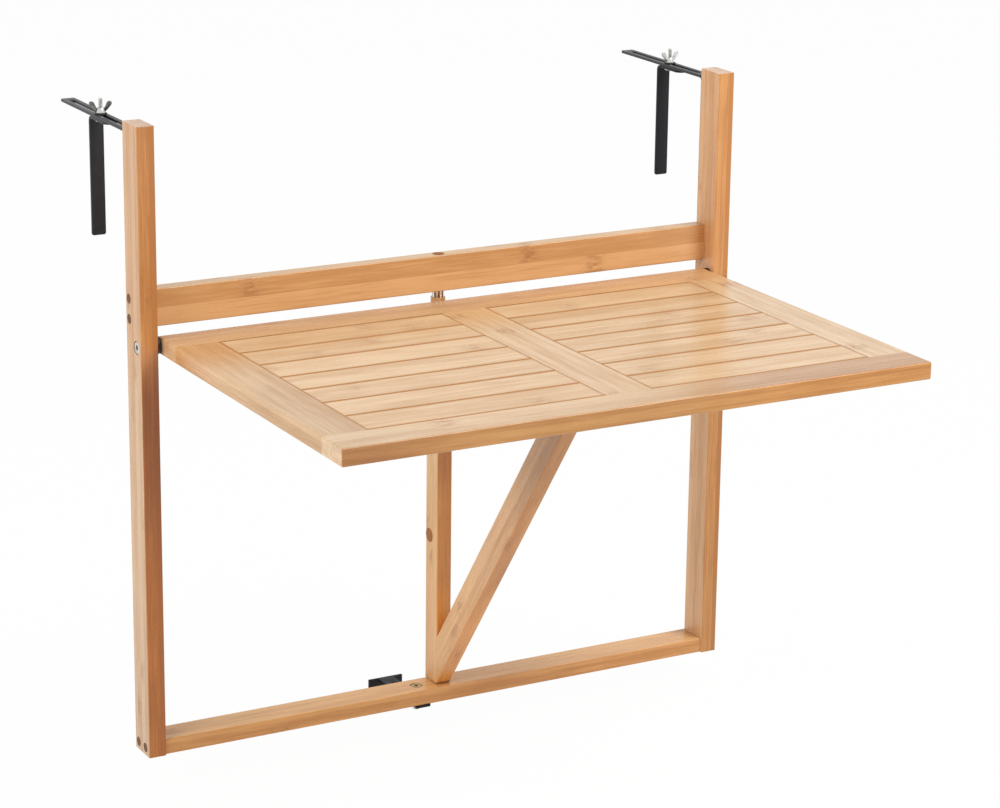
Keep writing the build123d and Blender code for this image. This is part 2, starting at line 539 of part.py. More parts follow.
def make_hooks():
    """Clamp hooks that slide along the bars."""
    tongue_top = -SLIDE_GAP
    tongue_under = tongue_top - STRAP_THICKNESS
    rear = HOOK_THROAT + STRAP_THICKNESS
    tip = HOOK_THROAT - HOOK_TONGUE
    half = STRAP_WIDTH / 2
    tongue = block((-half, half), (tip, rear), (tongue_under, tongue_top))
    leg = block((-half, half), (HOOK_THROAT, rear), (-HOOK_DROP, tongue_top))
    hook = bend_edges(tongue + leg, (HOOK_THROAT, tongue_under), (rear, tongue_top))
    tip_edges = hook.edges().filter_by(Axis.Z).filter_by(lambda e: e.center().Y < tip + EDGE_NEAR)
    hook = fillet(tip_edges, (STRAP_WIDTH - HOOK_TIP_FLAT) / 2)
    feet = hook.edges().filter_by(Axis.Y).filter_by(lambda e: e.center().Z < EDGE_NEAR - HOOK_DROP)
    hook = fillet(feet, STRAP_CORNER)
    neck_hole = HOOK_NECK_SIDE + 2 * GLUE_GAP
    hook -= Pos(0, HOOK_BOLT_Y, tongue_under) * Box(neck_hole, neck_hole, 4 * STRAP_THICKNESS)
    bolt_top = STRAP_THICKNESS + HOOK_BOLT_RISE
    head_range = (tongue_under - HOOK_HEAD_HEIGHT, tongue_under)
    head = rod_along_z(0, HOOK_BOLT_Y, head_range, HOOK_HEAD_DIAMETER)
    head_rim = head.edges().filter_by(GeomType.CIRCLE).sort_by(Axis.Z)[0]
    bolt = chamfer(head_rim, HOOK_HEAD_SLOPE)
    neck_range = (tongue_under, 0)
    neck_half = HOOK_NECK_SIDE / 2
    neck_span = (HOOK_BOLT_Y - neck_half, HOOK_BOLT_Y + neck_half)
    bolt += block((-neck_half, neck_half), neck_span, neck_range)
    bolt += rod_along_z(0, HOOK_BOLT_Y, (0, bolt_top), HOOK_BOLT_DIAMETER)
    bolt = chamfer(bolt.edges().filter_by(GeomType.CIRCLE).sort_by(Axis.Z)[-1], HOOK_BOLT_CHAMFER)
    washer_low = STRAP_THICKNESS + SLIDE_GAP
    washer_range = (washer_low, washer_low + HOOK_WASHER_THICKNESS)
    washer = rod_along_z(0, HOOK_BOLT_Y, washer_range, HOOK_WASHER_DIAMETER)
    washer -= rod_along_z(0, HOOK_BOLT_Y, (0, bolt_top), HOOK_BOLT_DIAMETER + 2 * RUNNING_GAP)
    nodes = {}
    places = (("left", -POST_MIDDLE, LEFT_NUT_TURN), ("right", POST_MIDDLE, RIGHT_NUT_TURN))
    for name, x, turn in places:
        nodes[f"{name}_hook"] = Pos(x, 0, 0) * hook
        nodes[f"{name}_hook_bolt"] = Pos(x, 0, 0) * bolt
        nodes[f"{name}_hook_washer"] = Pos(x, 0, 0) * washer
        nodes[f"{name}_wing_nut"] = Pos(x, HOOK_BOLT_Y, NUT_SEAT) * Rot(0, 0, turn) * wing_nut()
    return nodes


def wing_nut():
    """A wing nut on the Z axis: a tapered hub with two slender upswept wings."""
    hub = loft([
        Circle(WING_HUB_DIAMETER / 2),
        Pos(0, 0, WING_HUB_HEIGHT) * Circle(WING_HUB_TOP_DIAMETER / 2),
    ])
    half = WING_SPAN / 2
    root = WING_HUB_TOP_DIAMETER / 4
    shoulder = WING_HUB_HEIGHT - EDGE_NEAR
    outline = Polyline(
        (root, WING_ROOT_HEIGHT),
        (WING_HUB_DIAMETER / 2, WING_ROOT_HEIGHT),
        (half, WING_HEIGHT - WING_TIP_HEIGHT),
        (half, WING_HEIGHT),
        (half - WING_TOP_LENGTH, WING_HEIGHT),
        (WING_HUB_TOP_DIAMETER / 2 + WING_NECK, shoulder),
        (root, shoulder),
        close=True,
    )
    wing = extrude(Plane.XZ * make_face(outline), WING_THICKNESS / 2, both=True)
    tip_start = half - WING_TOP_LENGTH - EDGE_NEAR
    tips = wing.edges().filter_by(Axis.Y).filter_by(lambda e: e.center().X > tip_start)
    wing = fillet(tips, WING_TIP_ROUND)
    nut = hub + wing + Rot(0, 0, 180) * wing
    bore = HOOK_BOLT_DIAMETER + 2 * RUNNING_GAP
    return nut - rod_along_z(0, 0, (-CUT_PAST, WING_HEIGHT), bore)


def make_spacer():
    """The lower spacer, with its bolt through the rail, a washer and a nut."""
    top = BASE - SLIDE_GAP
    under = top - STRAP_THICKNESS
    tail = LOWER_RAIL_MIDDLE - SPACER_TAIL
    rear = SPACER_REACH
    half = SPACER_WIDTH / 2
    bar = block((-half, half), (tail, rear), (under, top))
    tail_edges = bar.edges().filter_by(Axis.Z).filter_by(lambda e: e.center().Y < tail + EDGE_NEAR)
    bar = fillet(tail_edges, STRAP_CORNER)
    plate_half = SPACER_PLATE_WIDTH / 2
    plate_low = top - SPACER_PLATE_HEIGHT
    plate = block((-plate_half, plate_half), (rear - STRAP_THICKNESS, rear), (plate_low, top))
    lower_corners = plate.edges().filter_by(Axis.Y).filter_by(lambda e: e.center().Z < plate_low + EDGE_NEAR)
    plate = fillet(lower_corners, SPACER_PLATE_CORNER)
    spacer = bar + plate
    inner = spacer.edges().filter_by(Axis.X).sort_by_distance(Vector(0, rear - STRAP_THICKNESS, under))[0]
    spacer = fillet(inner, BEND_RADIUS)
    slot = (tail + SPACER_SLOT_MARGIN, rear - STRAP_THICKNESS - SPACER_SLOT_TO_PLATE)
    slot_width = SPACER_BOLT_DIAMETER + 2 * SPACER_SLOT_PLAY
    spacer -= slot_cut(0, slot, slot_width, (under - CUT_PAST, top + CUT_PAST))
    y = LOWER_RAIL_MIDDLE
    head_range = (LOWER_RAIL_TOP - SPACER_HEAD_HEIGHT, LOWER_RAIL_TOP)
    washer_top = under - SLIDE_GAP
    nut_top = washer_top - SPACER_WASHER_THICKNESS
    nut_under = nut_top - SPACER_NUT_HEIGHT
    bolt = rod_along_z(0, y, head_range, SPACER_HEAD_DIAMETER)
    rim = bolt.edges().filter_by(GeomType.CIRCLE).sort_by(Axis.Z)[-1]
    bolt = chamfer(rim, SPACER_HEAD_CHAMFER)
    bolt += rod_along_z(0, y, (nut_under - SPACER_BOLT_PROUD, head_range[0]), SPACER_BOLT_DIAMETER)
    socket_range = (LOWER_RAIL_TOP - SPACER_HEX_DEPTH, LOWER_RAIL_TOP + CUT_PAST)
    bolt -= hex_prism(0, y, socket_range, SPACER_HEX_ACROSS_FLATS)
    bore = SPACER_BOLT_DIAMETER + 2 * GLUE_GAP
    washer = rod_along_z(0, y, (nut_top, washer_top), SPACER_WASHER_DIAMETER)
    washer -= rod_along_z(0, y, (nut_top - CUT_PAST, washer_top + CUT_PAST), bore)
    nut = hex_prism(0, y, (nut_under, nut_top), SPACER_NUT_ACROSS_FLATS)
    nut -= rod_along_z(0, y, (nut_under - CUT_PAST, nut_top + CUT_PAST), bore)
    pieces = {
        "lower_spacer": spacer,
        "spacer_bolt": bolt,
        "spacer_washer": washer,
        "spacer_nut": nut,
    }
    return {name: Pos(SPACER_OFFSET, 0, 0) * solid for name, solid in pieces.items()}


def main():
    os.makedirs("parts", exist_ok=True)
    makers = (
        make_posts,
        make_rails,
        make_dowels,
        make_table_frame,
        make_slats,
        make_table_pivots,
        make_gate,
        make_gate_pivots,
        make_brackets,
        make_hooks,
        make_spacer,
    )
    for maker in makers:
        for name, solid in maker().items():
            export_step(solid, f"parts/{name}.step")
    print(f"width {2 * POST_OUTER:.1f}, base {BASE:.1f}, table front {TABLE_FRONT:.1f}, top {TABLE_TOP:.1f}")


main()
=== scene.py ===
# %% [markdown]
# # A folding balcony table in bamboo
# The table hangs on a railing: an upright frame of two posts and two rails, a slatted top that turns on two
# bolts, and a gate leg that swings out to carry it. Its pieces are already modelled at their real size and
# place. This lesson loads them, gives each its finish, makes the small metal parts one by one, and lights
# them for a picture.

# %% Load the table's pieces
import math
from contextlib import contextmanager
from itertools import product
import bpy
from mathutils import Euler, Matrix, Vector


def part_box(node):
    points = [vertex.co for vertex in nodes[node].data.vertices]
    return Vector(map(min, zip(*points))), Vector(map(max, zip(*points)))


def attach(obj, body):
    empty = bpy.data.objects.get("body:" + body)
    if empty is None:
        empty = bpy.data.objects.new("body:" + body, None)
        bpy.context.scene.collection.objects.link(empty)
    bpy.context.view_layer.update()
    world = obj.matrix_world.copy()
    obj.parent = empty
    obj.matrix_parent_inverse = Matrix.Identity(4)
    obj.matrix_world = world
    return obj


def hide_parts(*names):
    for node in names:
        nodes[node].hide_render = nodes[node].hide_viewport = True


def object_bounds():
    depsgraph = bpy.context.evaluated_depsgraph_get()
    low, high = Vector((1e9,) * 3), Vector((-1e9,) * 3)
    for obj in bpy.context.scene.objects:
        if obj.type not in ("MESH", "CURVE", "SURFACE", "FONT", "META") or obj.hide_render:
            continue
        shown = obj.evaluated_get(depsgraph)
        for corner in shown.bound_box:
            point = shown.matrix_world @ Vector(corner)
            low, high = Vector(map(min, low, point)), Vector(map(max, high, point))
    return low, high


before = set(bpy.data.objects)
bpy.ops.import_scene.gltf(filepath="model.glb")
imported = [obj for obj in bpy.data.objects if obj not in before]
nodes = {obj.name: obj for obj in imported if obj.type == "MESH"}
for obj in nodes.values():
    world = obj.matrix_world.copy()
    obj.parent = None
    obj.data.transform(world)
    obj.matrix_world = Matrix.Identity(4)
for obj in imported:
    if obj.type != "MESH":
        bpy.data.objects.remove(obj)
cad_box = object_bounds()
bpy.ops.object.select_all(action="DESELECT")


def rounded(values, digits=3):
    """Numbers cut short for printing."""
    return [round(value, digits) for value in values]


print(len(nodes), "pieces loaded, from", rounded(cad_box[0]), "to", rounded(cad_box[1]))

# %% [markdown]
# ## The camera
# A product picture like this is taken with a long lens from a little above the table and to its left, so that
# straight edges stay nearly parallel. Where the camera stood was found by matching the table's corners to the
# picture. The camera is turned about the vertical first, then tipped down, then rolled by a hair.

# %% Set up the camera
CAMERA_PLACE = Vector((-1.3733, -2.6383, 0.5812))
CAMERA_YAW = 0.5032
CAMERA_PITCH = 0.2890
CAMERA_ROLL = 0.0127
CAMERA_LENS = 112.33
SENSOR_WIDTH = 36.0
QUARTER = math.pi / 2

camera_data = bpy.data.cameras.new("camera")
camera_data.lens = CAMERA_LENS
camera_data.sensor_width = SENSOR_WIDTH
camera = bpy.data.objects.new("camera", camera_data)
bpy.context.scene.collection.objects.link(camera)
aim = Matrix.Rotation(-CAMERA_YAW, 4, "Z") @ Matrix.Rotation(QUARTER - CAMERA_PITCH, 4, "X")
camera.matrix_world = Matrix.Translation(CAMERA_PLACE) @ aim @ Matrix.Rotation(CAMERA_ROLL, 4, "Z")
bpy.context.scene.camera = camera
bpy.context.scene.view_settings.view_transform = "Standard"
print("camera with a", CAMERA_LENS, "mm lens at", rounded(CAMERA_PLACE, 2))

# %% [markdown]
# ## Writing shader maths as Python
# A wood finish needs many sums: strip number, distance to a knot, streaks added together. Wiring each Math
# node by hand hides the idea, so a small class wraps one output socket and lets ordinary Python operators add
# the nodes. Everything else comes from its node method: the node's settings are set first, then its sockets
# get values or links.


# %% A socket that can be added and multiplied
def join(socket, value):
    """Links a wire to a socket, or sets a plain value on it."""
    if isinstance(value, Wire):
        value.tree.links.new(value.socket, socket)
    else:
        socket.default_value = value


class Wire:
    """An output socket of a node tree that takes part in sums."""

    def __init__(self, tree, socket=None):
        self.tree = tree
        self.socket = socket

    def node(self, kind, settings=None, sockets=None, output=0):
        """Adds a node, sets it up, joins its sockets and returns one of its outputs."""
        made = self.tree.nodes.new(kind)
        for name, value in (settings or {}).items():
            setattr(made, name, value)
        for name, value in (sockets or {}).items():
            join(made.inputs[name], value)
        return Wire(self.tree, made.outputs[output])

    def sum(self, operation, first, second=0.0):
        return self.node("ShaderNodeMath", {"operation": operation}, {0: first, 1: second})

    def __add__(self, other):
        return self.sum("ADD", self, other)

    def __radd__(self, other):
        return self.sum("ADD", other, self)

    def __sub__(self, other):
        return self.sum("SUBTRACT", self, other)

    def __rsub__(self, other):
        return self.sum("SUBTRACT", other, self)

    def __mul__(self, other):
        return self.sum("MULTIPLY", self, other)

    def __truediv__(self, other):
        return self.sum("DIVIDE", self, other)

    def __gt__(self, other):
        return self.sum("GREATER_THAN", self, other)

    def __abs__(self):
        return self.sum("ABSOLUTE", self)

    def whole(self):
        return self.sum("FLOOR", self)

    def rest(self):
        return self.sum("FRACT", self)

    def fade(self, start, end):
        """A smooth step: 0 at start, 1 at end."""
        limits = {"Value": self, "From Min": start, "From Max": end}
        return self.node("ShaderNodeMapRange", {"interpolation_type": "SMOOTHSTEP"}, limits)


print("Wire adds the Math nodes of an expression")


# %% Helpers for finishes and colours
def new_finish(name):
    """An empty material, its shader, and a wire with the place on the piece."""
    material = bpy.data.materials.new(name)
    material.use_nodes = True
    shader = material.node_tree.nodes["Principled BSDF"]
    here = Wire(material.node_tree).node("ShaderNodeTexCoord", output="Object")
    return material, shader, here


def finish_with(shader, **values):
    """Sets the shader's sockets; an underscore in a name stands for a space."""
    for name, value in values.items():
        join(shader.inputs[name.replace("_", " ")], value)


def linear(code):
    """A web colour such as d9a066 as linear red, green, blue and alpha."""
    parts = [int(code[i:i + 2], 16) / 255 for i in (0, 2, 4)]
    parts = [c / 12.92 if c <= 0.04045 else ((c + 0.055) / 1.055) ** 2.4 for c in parts]
    return (*parts, 1.0)


def blend(factor, first, second):
    """Mixes two colours."""
    return factor.node("ShaderNodeMix", {"data_type": "RGBA"}, {0: factor, 6: first, 7: second}, output=2)


print("colour helpers ready")


# %% Helpers for places and noise
def split(place):
    """The three numbers of a vector."""
    return [place.node("ShaderNodeSeparateXYZ", {}, {0: place}, output=axis) for axis in "XYZ"]


def stretched(place, scale, offset):
    """A place scaled and then shifted."""
    sockets = {0: place, 1: scale, 2: offset}
    return place.node("ShaderNodeVectorMath", {"operation": "MULTIPLY_ADD"}, sockets)


def evenly(bumps):
    """The same number of bumps to the metre each way."""
    return (bumps, bumps, bumps)


def noise(place, bumps, offset=(0.0, 0.0, 0.0), detail=1.0):
    """Smooth noise between about 0.2 and 0.8, with so many bumps to the metre along each axis."""
    sockets = {"Vector": stretched(place, bumps, offset), "Scale": 1.0, "Detail": detail}
    return place.node("ShaderNodeTexNoise", {}, sockets)


def chance(x, y, z):
    """A random value for each whole-numbered place."""
    place = x.node("ShaderNodeCombineXYZ", {}, {0: x, 1: y, 2: z})
    return x.node("ShaderNodeTexWhiteNoise", {"noise_dimensions": "3D"}, {"Vector": place})


def bumped(height, strength, distance):
    """A bump for a shader's Normal socket."""
    sockets = {"Strength": strength, "Distance": distance, "Height": height}
    return height.node("ShaderNodeBump", {}, sockets)


print("noise helpers ready")

# %% [markdown]
# ## Laminated bamboo
# Bamboo boards are glued from strips about as wide as a finger. Each strip has its own tone, long streaks
# that follow the stem, fine fibres, and now and then a knot where the stem had a joint: a soft brown smudge
# with short dark dashes. A photo texture would repeat and wouldn't follow the members, so the strips, streaks
# and knots are worked out from each member's own corner, along its own grain, and a number, its seed, makes
# each member different.

# %% How the grain lies in each member
GRAIN_X = (0.0, 0.0, 0.0)
GRAIN_X_UPRIGHT = (QUARTER, 0.0, 0.0)
GRAIN_Y = (0.0, 0.0, -QUARTER)
GRAIN_Z = (0.0, QUARTER, 0.0)

brace_low, brace_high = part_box("gate_brace")
brace_run = brace_high - brace_low
brace_tilt = math.atan2(brace_run.y, brace_run.z)
GRAIN_BRACE = (-brace_tilt, QUARTER, 0.0)
print("the brace leans", round(math.degrees(brace_tilt), 1), "degrees from upright")


def member_corners(node, grain):
    """The lowest corner of a member's box and its size, both turned so that X runs along the grain."""
    turn = Euler(grain).to_matrix()
    corners = [turn @ Vector(place) for place in product(*zip(*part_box(node)))]
    lowest = Vector([min(values) for values in zip(*corners)])
    highest = Vector([max(values) for values in zip(*corners)])
    return lowest, highest - lowest


# %% Strips, and the two tones of a board
STRIP_WIDE = 0.018
STRIP_THICK = 0.006
GLUE_LINE = 0.0003
FACE_MARGIN = 0.08
PALE_STREAK = (1.12, 1.17, 1.24)
DEEP_STREAK = (0.85, 0.77, 0.67)


def strips_across(distance, length, width):
    """Strip number, and how near the glue line of two strips a place is; a face is never on such a line."""
    count = max(1, round(length / width))
    steps = distance * ((count - 2 * FACE_MARGIN) / length) + FACE_MARGIN
    number = steps.whole()
    from_edge = 0.5 - abs(steps.rest() - 0.5)
    line = (from_edge * (length / count)).fade(GLUE_LINE, 0.0)
    return number, line


def streaks(code):
    """The pale and the deep streak of a board with this middle colour."""
    middle = linear(code)
    pale = [min(1.0, part * change) for part, change in zip(middle, PALE_STREAK)]
    deep = [part * change for part, change in zip(middle, DEEP_STREAK)]
    return (*pale, 1.0), (*deep, 1.0)


print("bamboo strips about", round(STRIP_WIDE * 1000), "mm wide and", round(STRIP_THICK * 1000), "mm thick")

# %% [markdown]
# ## Streaks and knots
# All streaks are noise that is long along the grain and narrow across it. Broad ones give a strip its bands,
# fine ones and fibres its hair lines, and short clouds keep it from looking combed. A knot sits at a regular
# spacing along each strip, but every strip starts its row elsewhere and nearly half the knots are left out.

# %% Streaks
BROAD_STREAKS = (5.5, 150.0, 150.0)
FINE_STREAKS = (20.0, 640.0, 640.0)
FIBRES = (60.0, 2600.0, 2600.0)
CLOUDS = (16.0, 60.0, 60.0)


def streak_noises(member, seed):
    """Broad streaks, fine streaks, fibres and clouds; the factors on the seed only set two boards apart."""
    broad = noise(member, BROAD_STREAKS, (seed * 3.1, 0.0, seed * 1.7), 2.0)
    fine = noise(member, FINE_STREAKS, (seed * 1.3, seed * 2.9, 0.0), 2.0)
    fibre = noise(member, FIBRES, (0.0, seed * 4.3, seed * 2.1))
    cloud = noise(member, CLOUDS, (seed * 2.3, seed * 0.7, 0.0))
    return broad, fine, fibre, cloud


print("a broad streak is about", round(1000 / BROAD_STREAKS[0]), "mm long")

# %% Knots
KNOT_SPACING = 0.30
KNOT_LENGTH = 0.015
KNOT_CORE = 0.001
KNOT_STRAY = 0.012
KNOTS_LEFT_OUT = 0.45
ROW_START = 7.0
ROW_STEP = 3.0
DASH_REACH = 0.022
DASH_CORE = 0.002
KNOT_WANDER = (0.0, 190.0, 190.0)
KNOT_PATCHES = (70.0, 240.0, 240.0)
PATCH_LEVELS = (0.35, 0.6)
KNOT_DASHES = (190.0, 1500.0, 1500.0)
DASH_LEVELS = (0.55, 0.68)


def knot_marks(member, along, row, layer, strip_tone, seed):
    """The soft smudges where the stem had its joints, and the short dark dashes in them."""
    wander = noise(member, KNOT_WANDER, (seed * 5.0, 0.0, 0.0)) - 0.5
    knots = (along + wander * KNOT_STRAY) / KNOT_SPACING + strip_tone * ROW_START
    to_knot = abs(knots.rest() - 0.5) * KNOT_SPACING
    shown = chance(row * ROW_STEP + layer, knots.whole(), seed + 0.5) > KNOTS_LEFT_OUT
    patchy = noise(member, KNOT_PATCHES, (0.0, seed * 2.0, 3.0)).fade(*PATCH_LEVELS)
    dashes = noise(member, KNOT_DASHES, (seed * 2.0, 0.0, 0.0)).fade(*DASH_LEVELS)
    smudge = shown * to_knot.fade(KNOT_LENGTH, KNOT_CORE) * patchy
    speckle = shown * to_knot.fade(DASH_REACH, DASH_CORE) * dashes
    return smudge, speckle


print("knots about every", round(KNOT_SPACING * 1000), "mm of a strip")

# %% [markdown]
# ## Edges, ends, grooves and bores
# The edges that face the room are a deeper orange than the flat tops, partly in the wood's own tone and
# partly as painted shade, and the walls of the grooves between the slats are painted brown as the grooves'
# shade. So every board has two middle colours, and the face's own direction chooses between them. Ends cut
# across the grain are paler and show the stem's dots. A slat also has painted shade along its rim, next to
# its groove, and a bore has painted shade inside.

# %% Where a board's face is an edge, an end, a rim or a bore
FRONT_LEVELS = (0.35, 0.75)
WALL_LEVELS = (0.10, 0.26)
END_LEVELS = (0.75, 0.95)
# How far the painted shade of the grooves reaches in from a slat's sides and from its ends.
SIDE_SHADE = 0.0034
END_SHADE = 0.0018
END_SHADE_SHARE = 0.8
SLAT_TONGUE = 0.0095
BORE_EDGE = 0.0003


def edge_tone_and_shade_share(facing, rim):
    """1 on a slat's upright walls, or on the face that another board turns to the room: the faces whose
    colour is partly painted shade.
    """
    if rim:
        return (1.0 - abs(split(facing)[2])).fade(*WALL_LEVELS)
    return (split(facing)[1] * -1.0).fade(*FRONT_LEVELS)


def end_share(facing, grain):
    """1 on faces that are cut across the grain."""
    sockets = {"Vector": facing, "Rotation": grain}
    along = split(facing.node("ShaderNodeMapping", {"vector_type": "VECTOR"}, sockets))[0]
    return abs(along).fade(*END_LEVELS)


def rim_shade_share(along, wide, size):
    """Where painted groove shade lies: 1 at the long sides of a slat's face, and a little less at its ends,
    beyond which its tongues begin.
    """
    to_side = size.y / 2 - abs(wide - size.y / 2)
    to_end = size.x / 2 - abs(along - size.x / 2)
    sides = to_side.fade(SIDE_SHADE, 0.0)
    ends = to_end.fade(SLAT_TONGUE + END_SHADE, SLAT_TONGUE) * END_SHADE_SHARE
    return along.sum("MAXIMUM", sides, ends)


def bore_shade_share(here, middle, radius):
    """1 inside an upright bore, where shade is painted."""
    from_axis = stretched(here, (1.0, 1.0, 0.0), (-middle.x, -middle.y, 0.0))
    reach = here.node("ShaderNodeVectorMath", {"operation": "LENGTH"}, {0: from_axis}, output="Value")
    return reach.fade(radius + BORE_EDGE, radius)


print("rims are shaded over", round(SIDE_SHADE * 1000, 1), "mm")

# %% [markdown]
# ## The bamboo finish
# Here the parts come together: streaks, strips and clouds add up to one mixture that runs from a board's pale
# streak to its deep one. Knots, glue lines and ends are laid over it in turn, and then painted shade along
# the rims and inside the bores. The varnish is glossy, a little uneven with the streaks, and duller in the
# grooves.

# %% Varnished bamboo
FINE_WEIGHT = 1.4
FIBRE_WEIGHT = 0.6
CLOUD_WEIGHT = 0.6
LAYER_MIDDLE = 0.67
KNOT_SMUDGE = linear("a56c40")
KNOT_DASH = linear("74482a")
DASH_SHARE = 0.45
GLUE_BROWN = linear("9c6a3c")
END_PALE = linear("e6d4c0")
END_DOTS = linear("8a5c34")
END_DOT_SHARE = 0.18
END_VESSELS = (150.0, 1700.0, 1700.0)
VESSEL_LEVELS = (0.48, 0.66)
# Painted shade: orange along a slat's rim by its groove, brown inside a bore.
RIM_SHADE_ORANGE = linear("ad7432")
RIM_SHADE_SHARE = 0.85
BORE_SHADE_BROWN = linear("b48661")
FINE_RELIEF = 0.5
FIBRE_RELIEF = 0.6
SUNK_RELIEF = 0.4
VARNISH_BUMP = (0.12, 0.0004)
VARNISH_ROUGHNESS = 0.28
BROAD_ROUGHNESS = 0.14
FINE_ROUGHNESS = 0.12
KNOT_ROUGHNESS = 0.06
GROOVE_ROUGHNESS = 0.30


def bamboo(
    name, node, seed, grain, flat, edge, rim=False, strip=STRIP_WIDE, contrast=0.4, glue=0.3, dark_layer=0.0,
    dark_row=0.0, knot=0.3, turns=(), bore=None, pale_end=0.1
):
    """Varnished bamboo whose strips run along a member's grain, with a colour for flats and one for edges.

    Each of turns gives the flat and edge colours that the board changes to along its length, and where that
    starts and ends; they are partly the board's own tone and partly painted shade where other parts of the
    table shade it. bore gives the middle and the radius of an upright hole, which has painted shade inside.
    """
    material, shader, here = new_finish(name)
    corner, size = member_corners(node, grain)
    member = here.node("ShaderNodeMapping", {}, {"Vector": here, "Rotation": grain, "Location": -corner})
    along, wide, thick = split(member)
    row, row_line = strips_across(wide, size.y, strip)
    layer, layer_line = strips_across(thick, size.z, STRIP_THICK)
    lines = row_line + layer_line
    strip_tone = chance(row, layer, float(seed))
    broad, fine, fibre, cloud = streak_noises(member, seed)
    smudge, speckle = knot_marks(member, along, row, layer, strip_tone, seed)

    mixture = 0.5 + (strip_tone - 0.5) * contrast + (broad - 0.5) + (fine - 0.5) * FINE_WEIGHT
    mixture = mixture + (fibre - 0.5) * FIBRE_WEIGHT + (cloud - 0.5) * CLOUD_WEIGHT
    mixture = mixture + (LAYER_MIDDLE - (layer > 0.5)) * dark_layer + (0.5 - (row > 0.5)) * dark_row
    mixture = mixture.fade(0.0, 1.0)
    facing = here.node("ShaderNodeTexCoord", output="Normal")
    # Faces turned to the front, and a slat's groove walls, take the edge colour, which is partly painted
    # shade.
    edge_tone_and_shade = edge_tone_and_shade_share(facing, rim)
    colour = blend(edge_tone_and_shade, blend(mixture, *streaks(flat)), blend(mixture, *streaks(edge)))
    # Colour turns along the board: partly its own tone, partly painted shade where other parts shade it.
    for far_flat, far_edge, first, last in turns:
        far = blend(edge_tone_and_shade, blend(mixture, *streaks(far_flat)), blend(mixture, *streaks(far_edge)))
        colour = blend(along.fade(first, last), colour, far)

    colour = blend(smudge * knot, colour, KNOT_SMUDGE)
    colour = blend(speckle * DASH_SHARE, colour, KNOT_DASH)
    colour = blend(lines * glue, colour, GLUE_BROWN)
    cut_end = end_share(facing, grain)
    vessels = noise(member, END_VESSELS, (seed * 1.1, 0.0, 0.0)).fade(*VESSEL_LEVELS)
    colour = blend(cut_end * pale_end, colour, END_PALE)
    colour = blend(cut_end * vessels * END_DOT_SHARE, colour, END_DOTS)
    # Painted groove shade along a slat's rim.
    if rim:
        colour = blend(rim_shade_share(along, wide, size) * RIM_SHADE_SHARE, colour, RIM_SHADE_ORANGE)
    # Painted shade inside a bore.
    if bore:
        colour = blend(bore_shade_share(here, *bore), colour, BORE_SHADE_BROWN)

    relief = (fine - 0.5) * FINE_RELIEF + (fibre - 0.5) * FIBRE_RELIEF - (speckle + lines) * SUNK_RELIEF
    roughness = VARNISH_ROUGHNESS + (broad - 0.5) * BROAD_ROUGHNESS + (fine - 0.5) * FINE_ROUGHNESS
    roughness = roughness + smudge * KNOT_ROUGHNESS
    if rim:
        roughness = roughness + edge_tone_and_shade * GROOVE_ROUGHNESS
    finish_with(shader, Base_Color=colour, Roughness=roughness, Normal=bumped(relief, *VARNISH_BUMP))
    return material


def dress(node, material):
    """Gives a piece one finish all over."""
    mesh = nodes[node].data
    mesh.materials.clear()
    mesh.materials.append(material)


print("bamboo finish ready")

# %% [markdown]
# ## Which board is which
# No two boards of the real table have the same tone: the posts and the gate are a deeper honey than the
# slats, which were sorted pale. Many boards also change colour along their length, partly in tone and partly
# as painted shade where the table top and the rails shade them, and the gate's feet have a painted contact
# shadow where they stand on the rail. So each member gets its grain direction, the colour of its flats and of
# its edges, and the colours that it changes to, with the distance along the grain where each turn starts and
# ends.

# %% Colours of the frame
pin_low, pin_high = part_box("gate_pivot_pin")
PIN_MIDDLE = (pin_low + pin_high) / 2
PIN_ROOM = 0.0003
pin_bore = (PIN_MIDDLE, (pin_high.x - pin_low.x) / 2 + PIN_ROOM)

# The turns below are partly the boards' own tone and partly painted shade, where the table top and the rails
# shade the frame.
members = {
    "left_post": dict(
        grain=GRAIN_Z, flat="bc9066", edge="c0824a", strip=0.009, contrast=0.8, glue=0.4, dark_layer=0.6,
        knot=0.45, pale_end=0.18,
        turns=[("bf9a73", "985622", 0.43, 0.36), ("bf9a74", "bd7432", 0.34, 0.12)]
    ),
    "right_post": dict(
        grain=GRAIN_Z, flat="cf9d6c", edge="d19255", strip=0.009, contrast=0.8, glue=0.4, dark_layer=0.35,
        pale_end=0.2, turns=[("d6a97a", "bc8249", 0.43, 0.36)]
    ),
    "upper_rail": dict(
        grain=GRAIN_X_UPRIGHT, flat="dcb789", edge="d9a56e", contrast=0.2, dark_row=0.45, knot=0.5,
        bore=pin_bore
    ),
    "lower_rail": dict(
        grain=GRAIN_X, flat="efb975", edge="d6995a", contrast=0.6, strip=0.012,
        turns=[("d9a66b", "cb9156", 0.24, 0.40)]
    )
}
print(len(members), "members of the frame have their colours")

# %% Colours of the table top
# The slats' edge colour is painted shade on the walls of the grooves between them.
SLAT = "d8b489"
GROOVE_WALL_SHADE = "9c6528"
STILE_EDGE = "c58a4a"

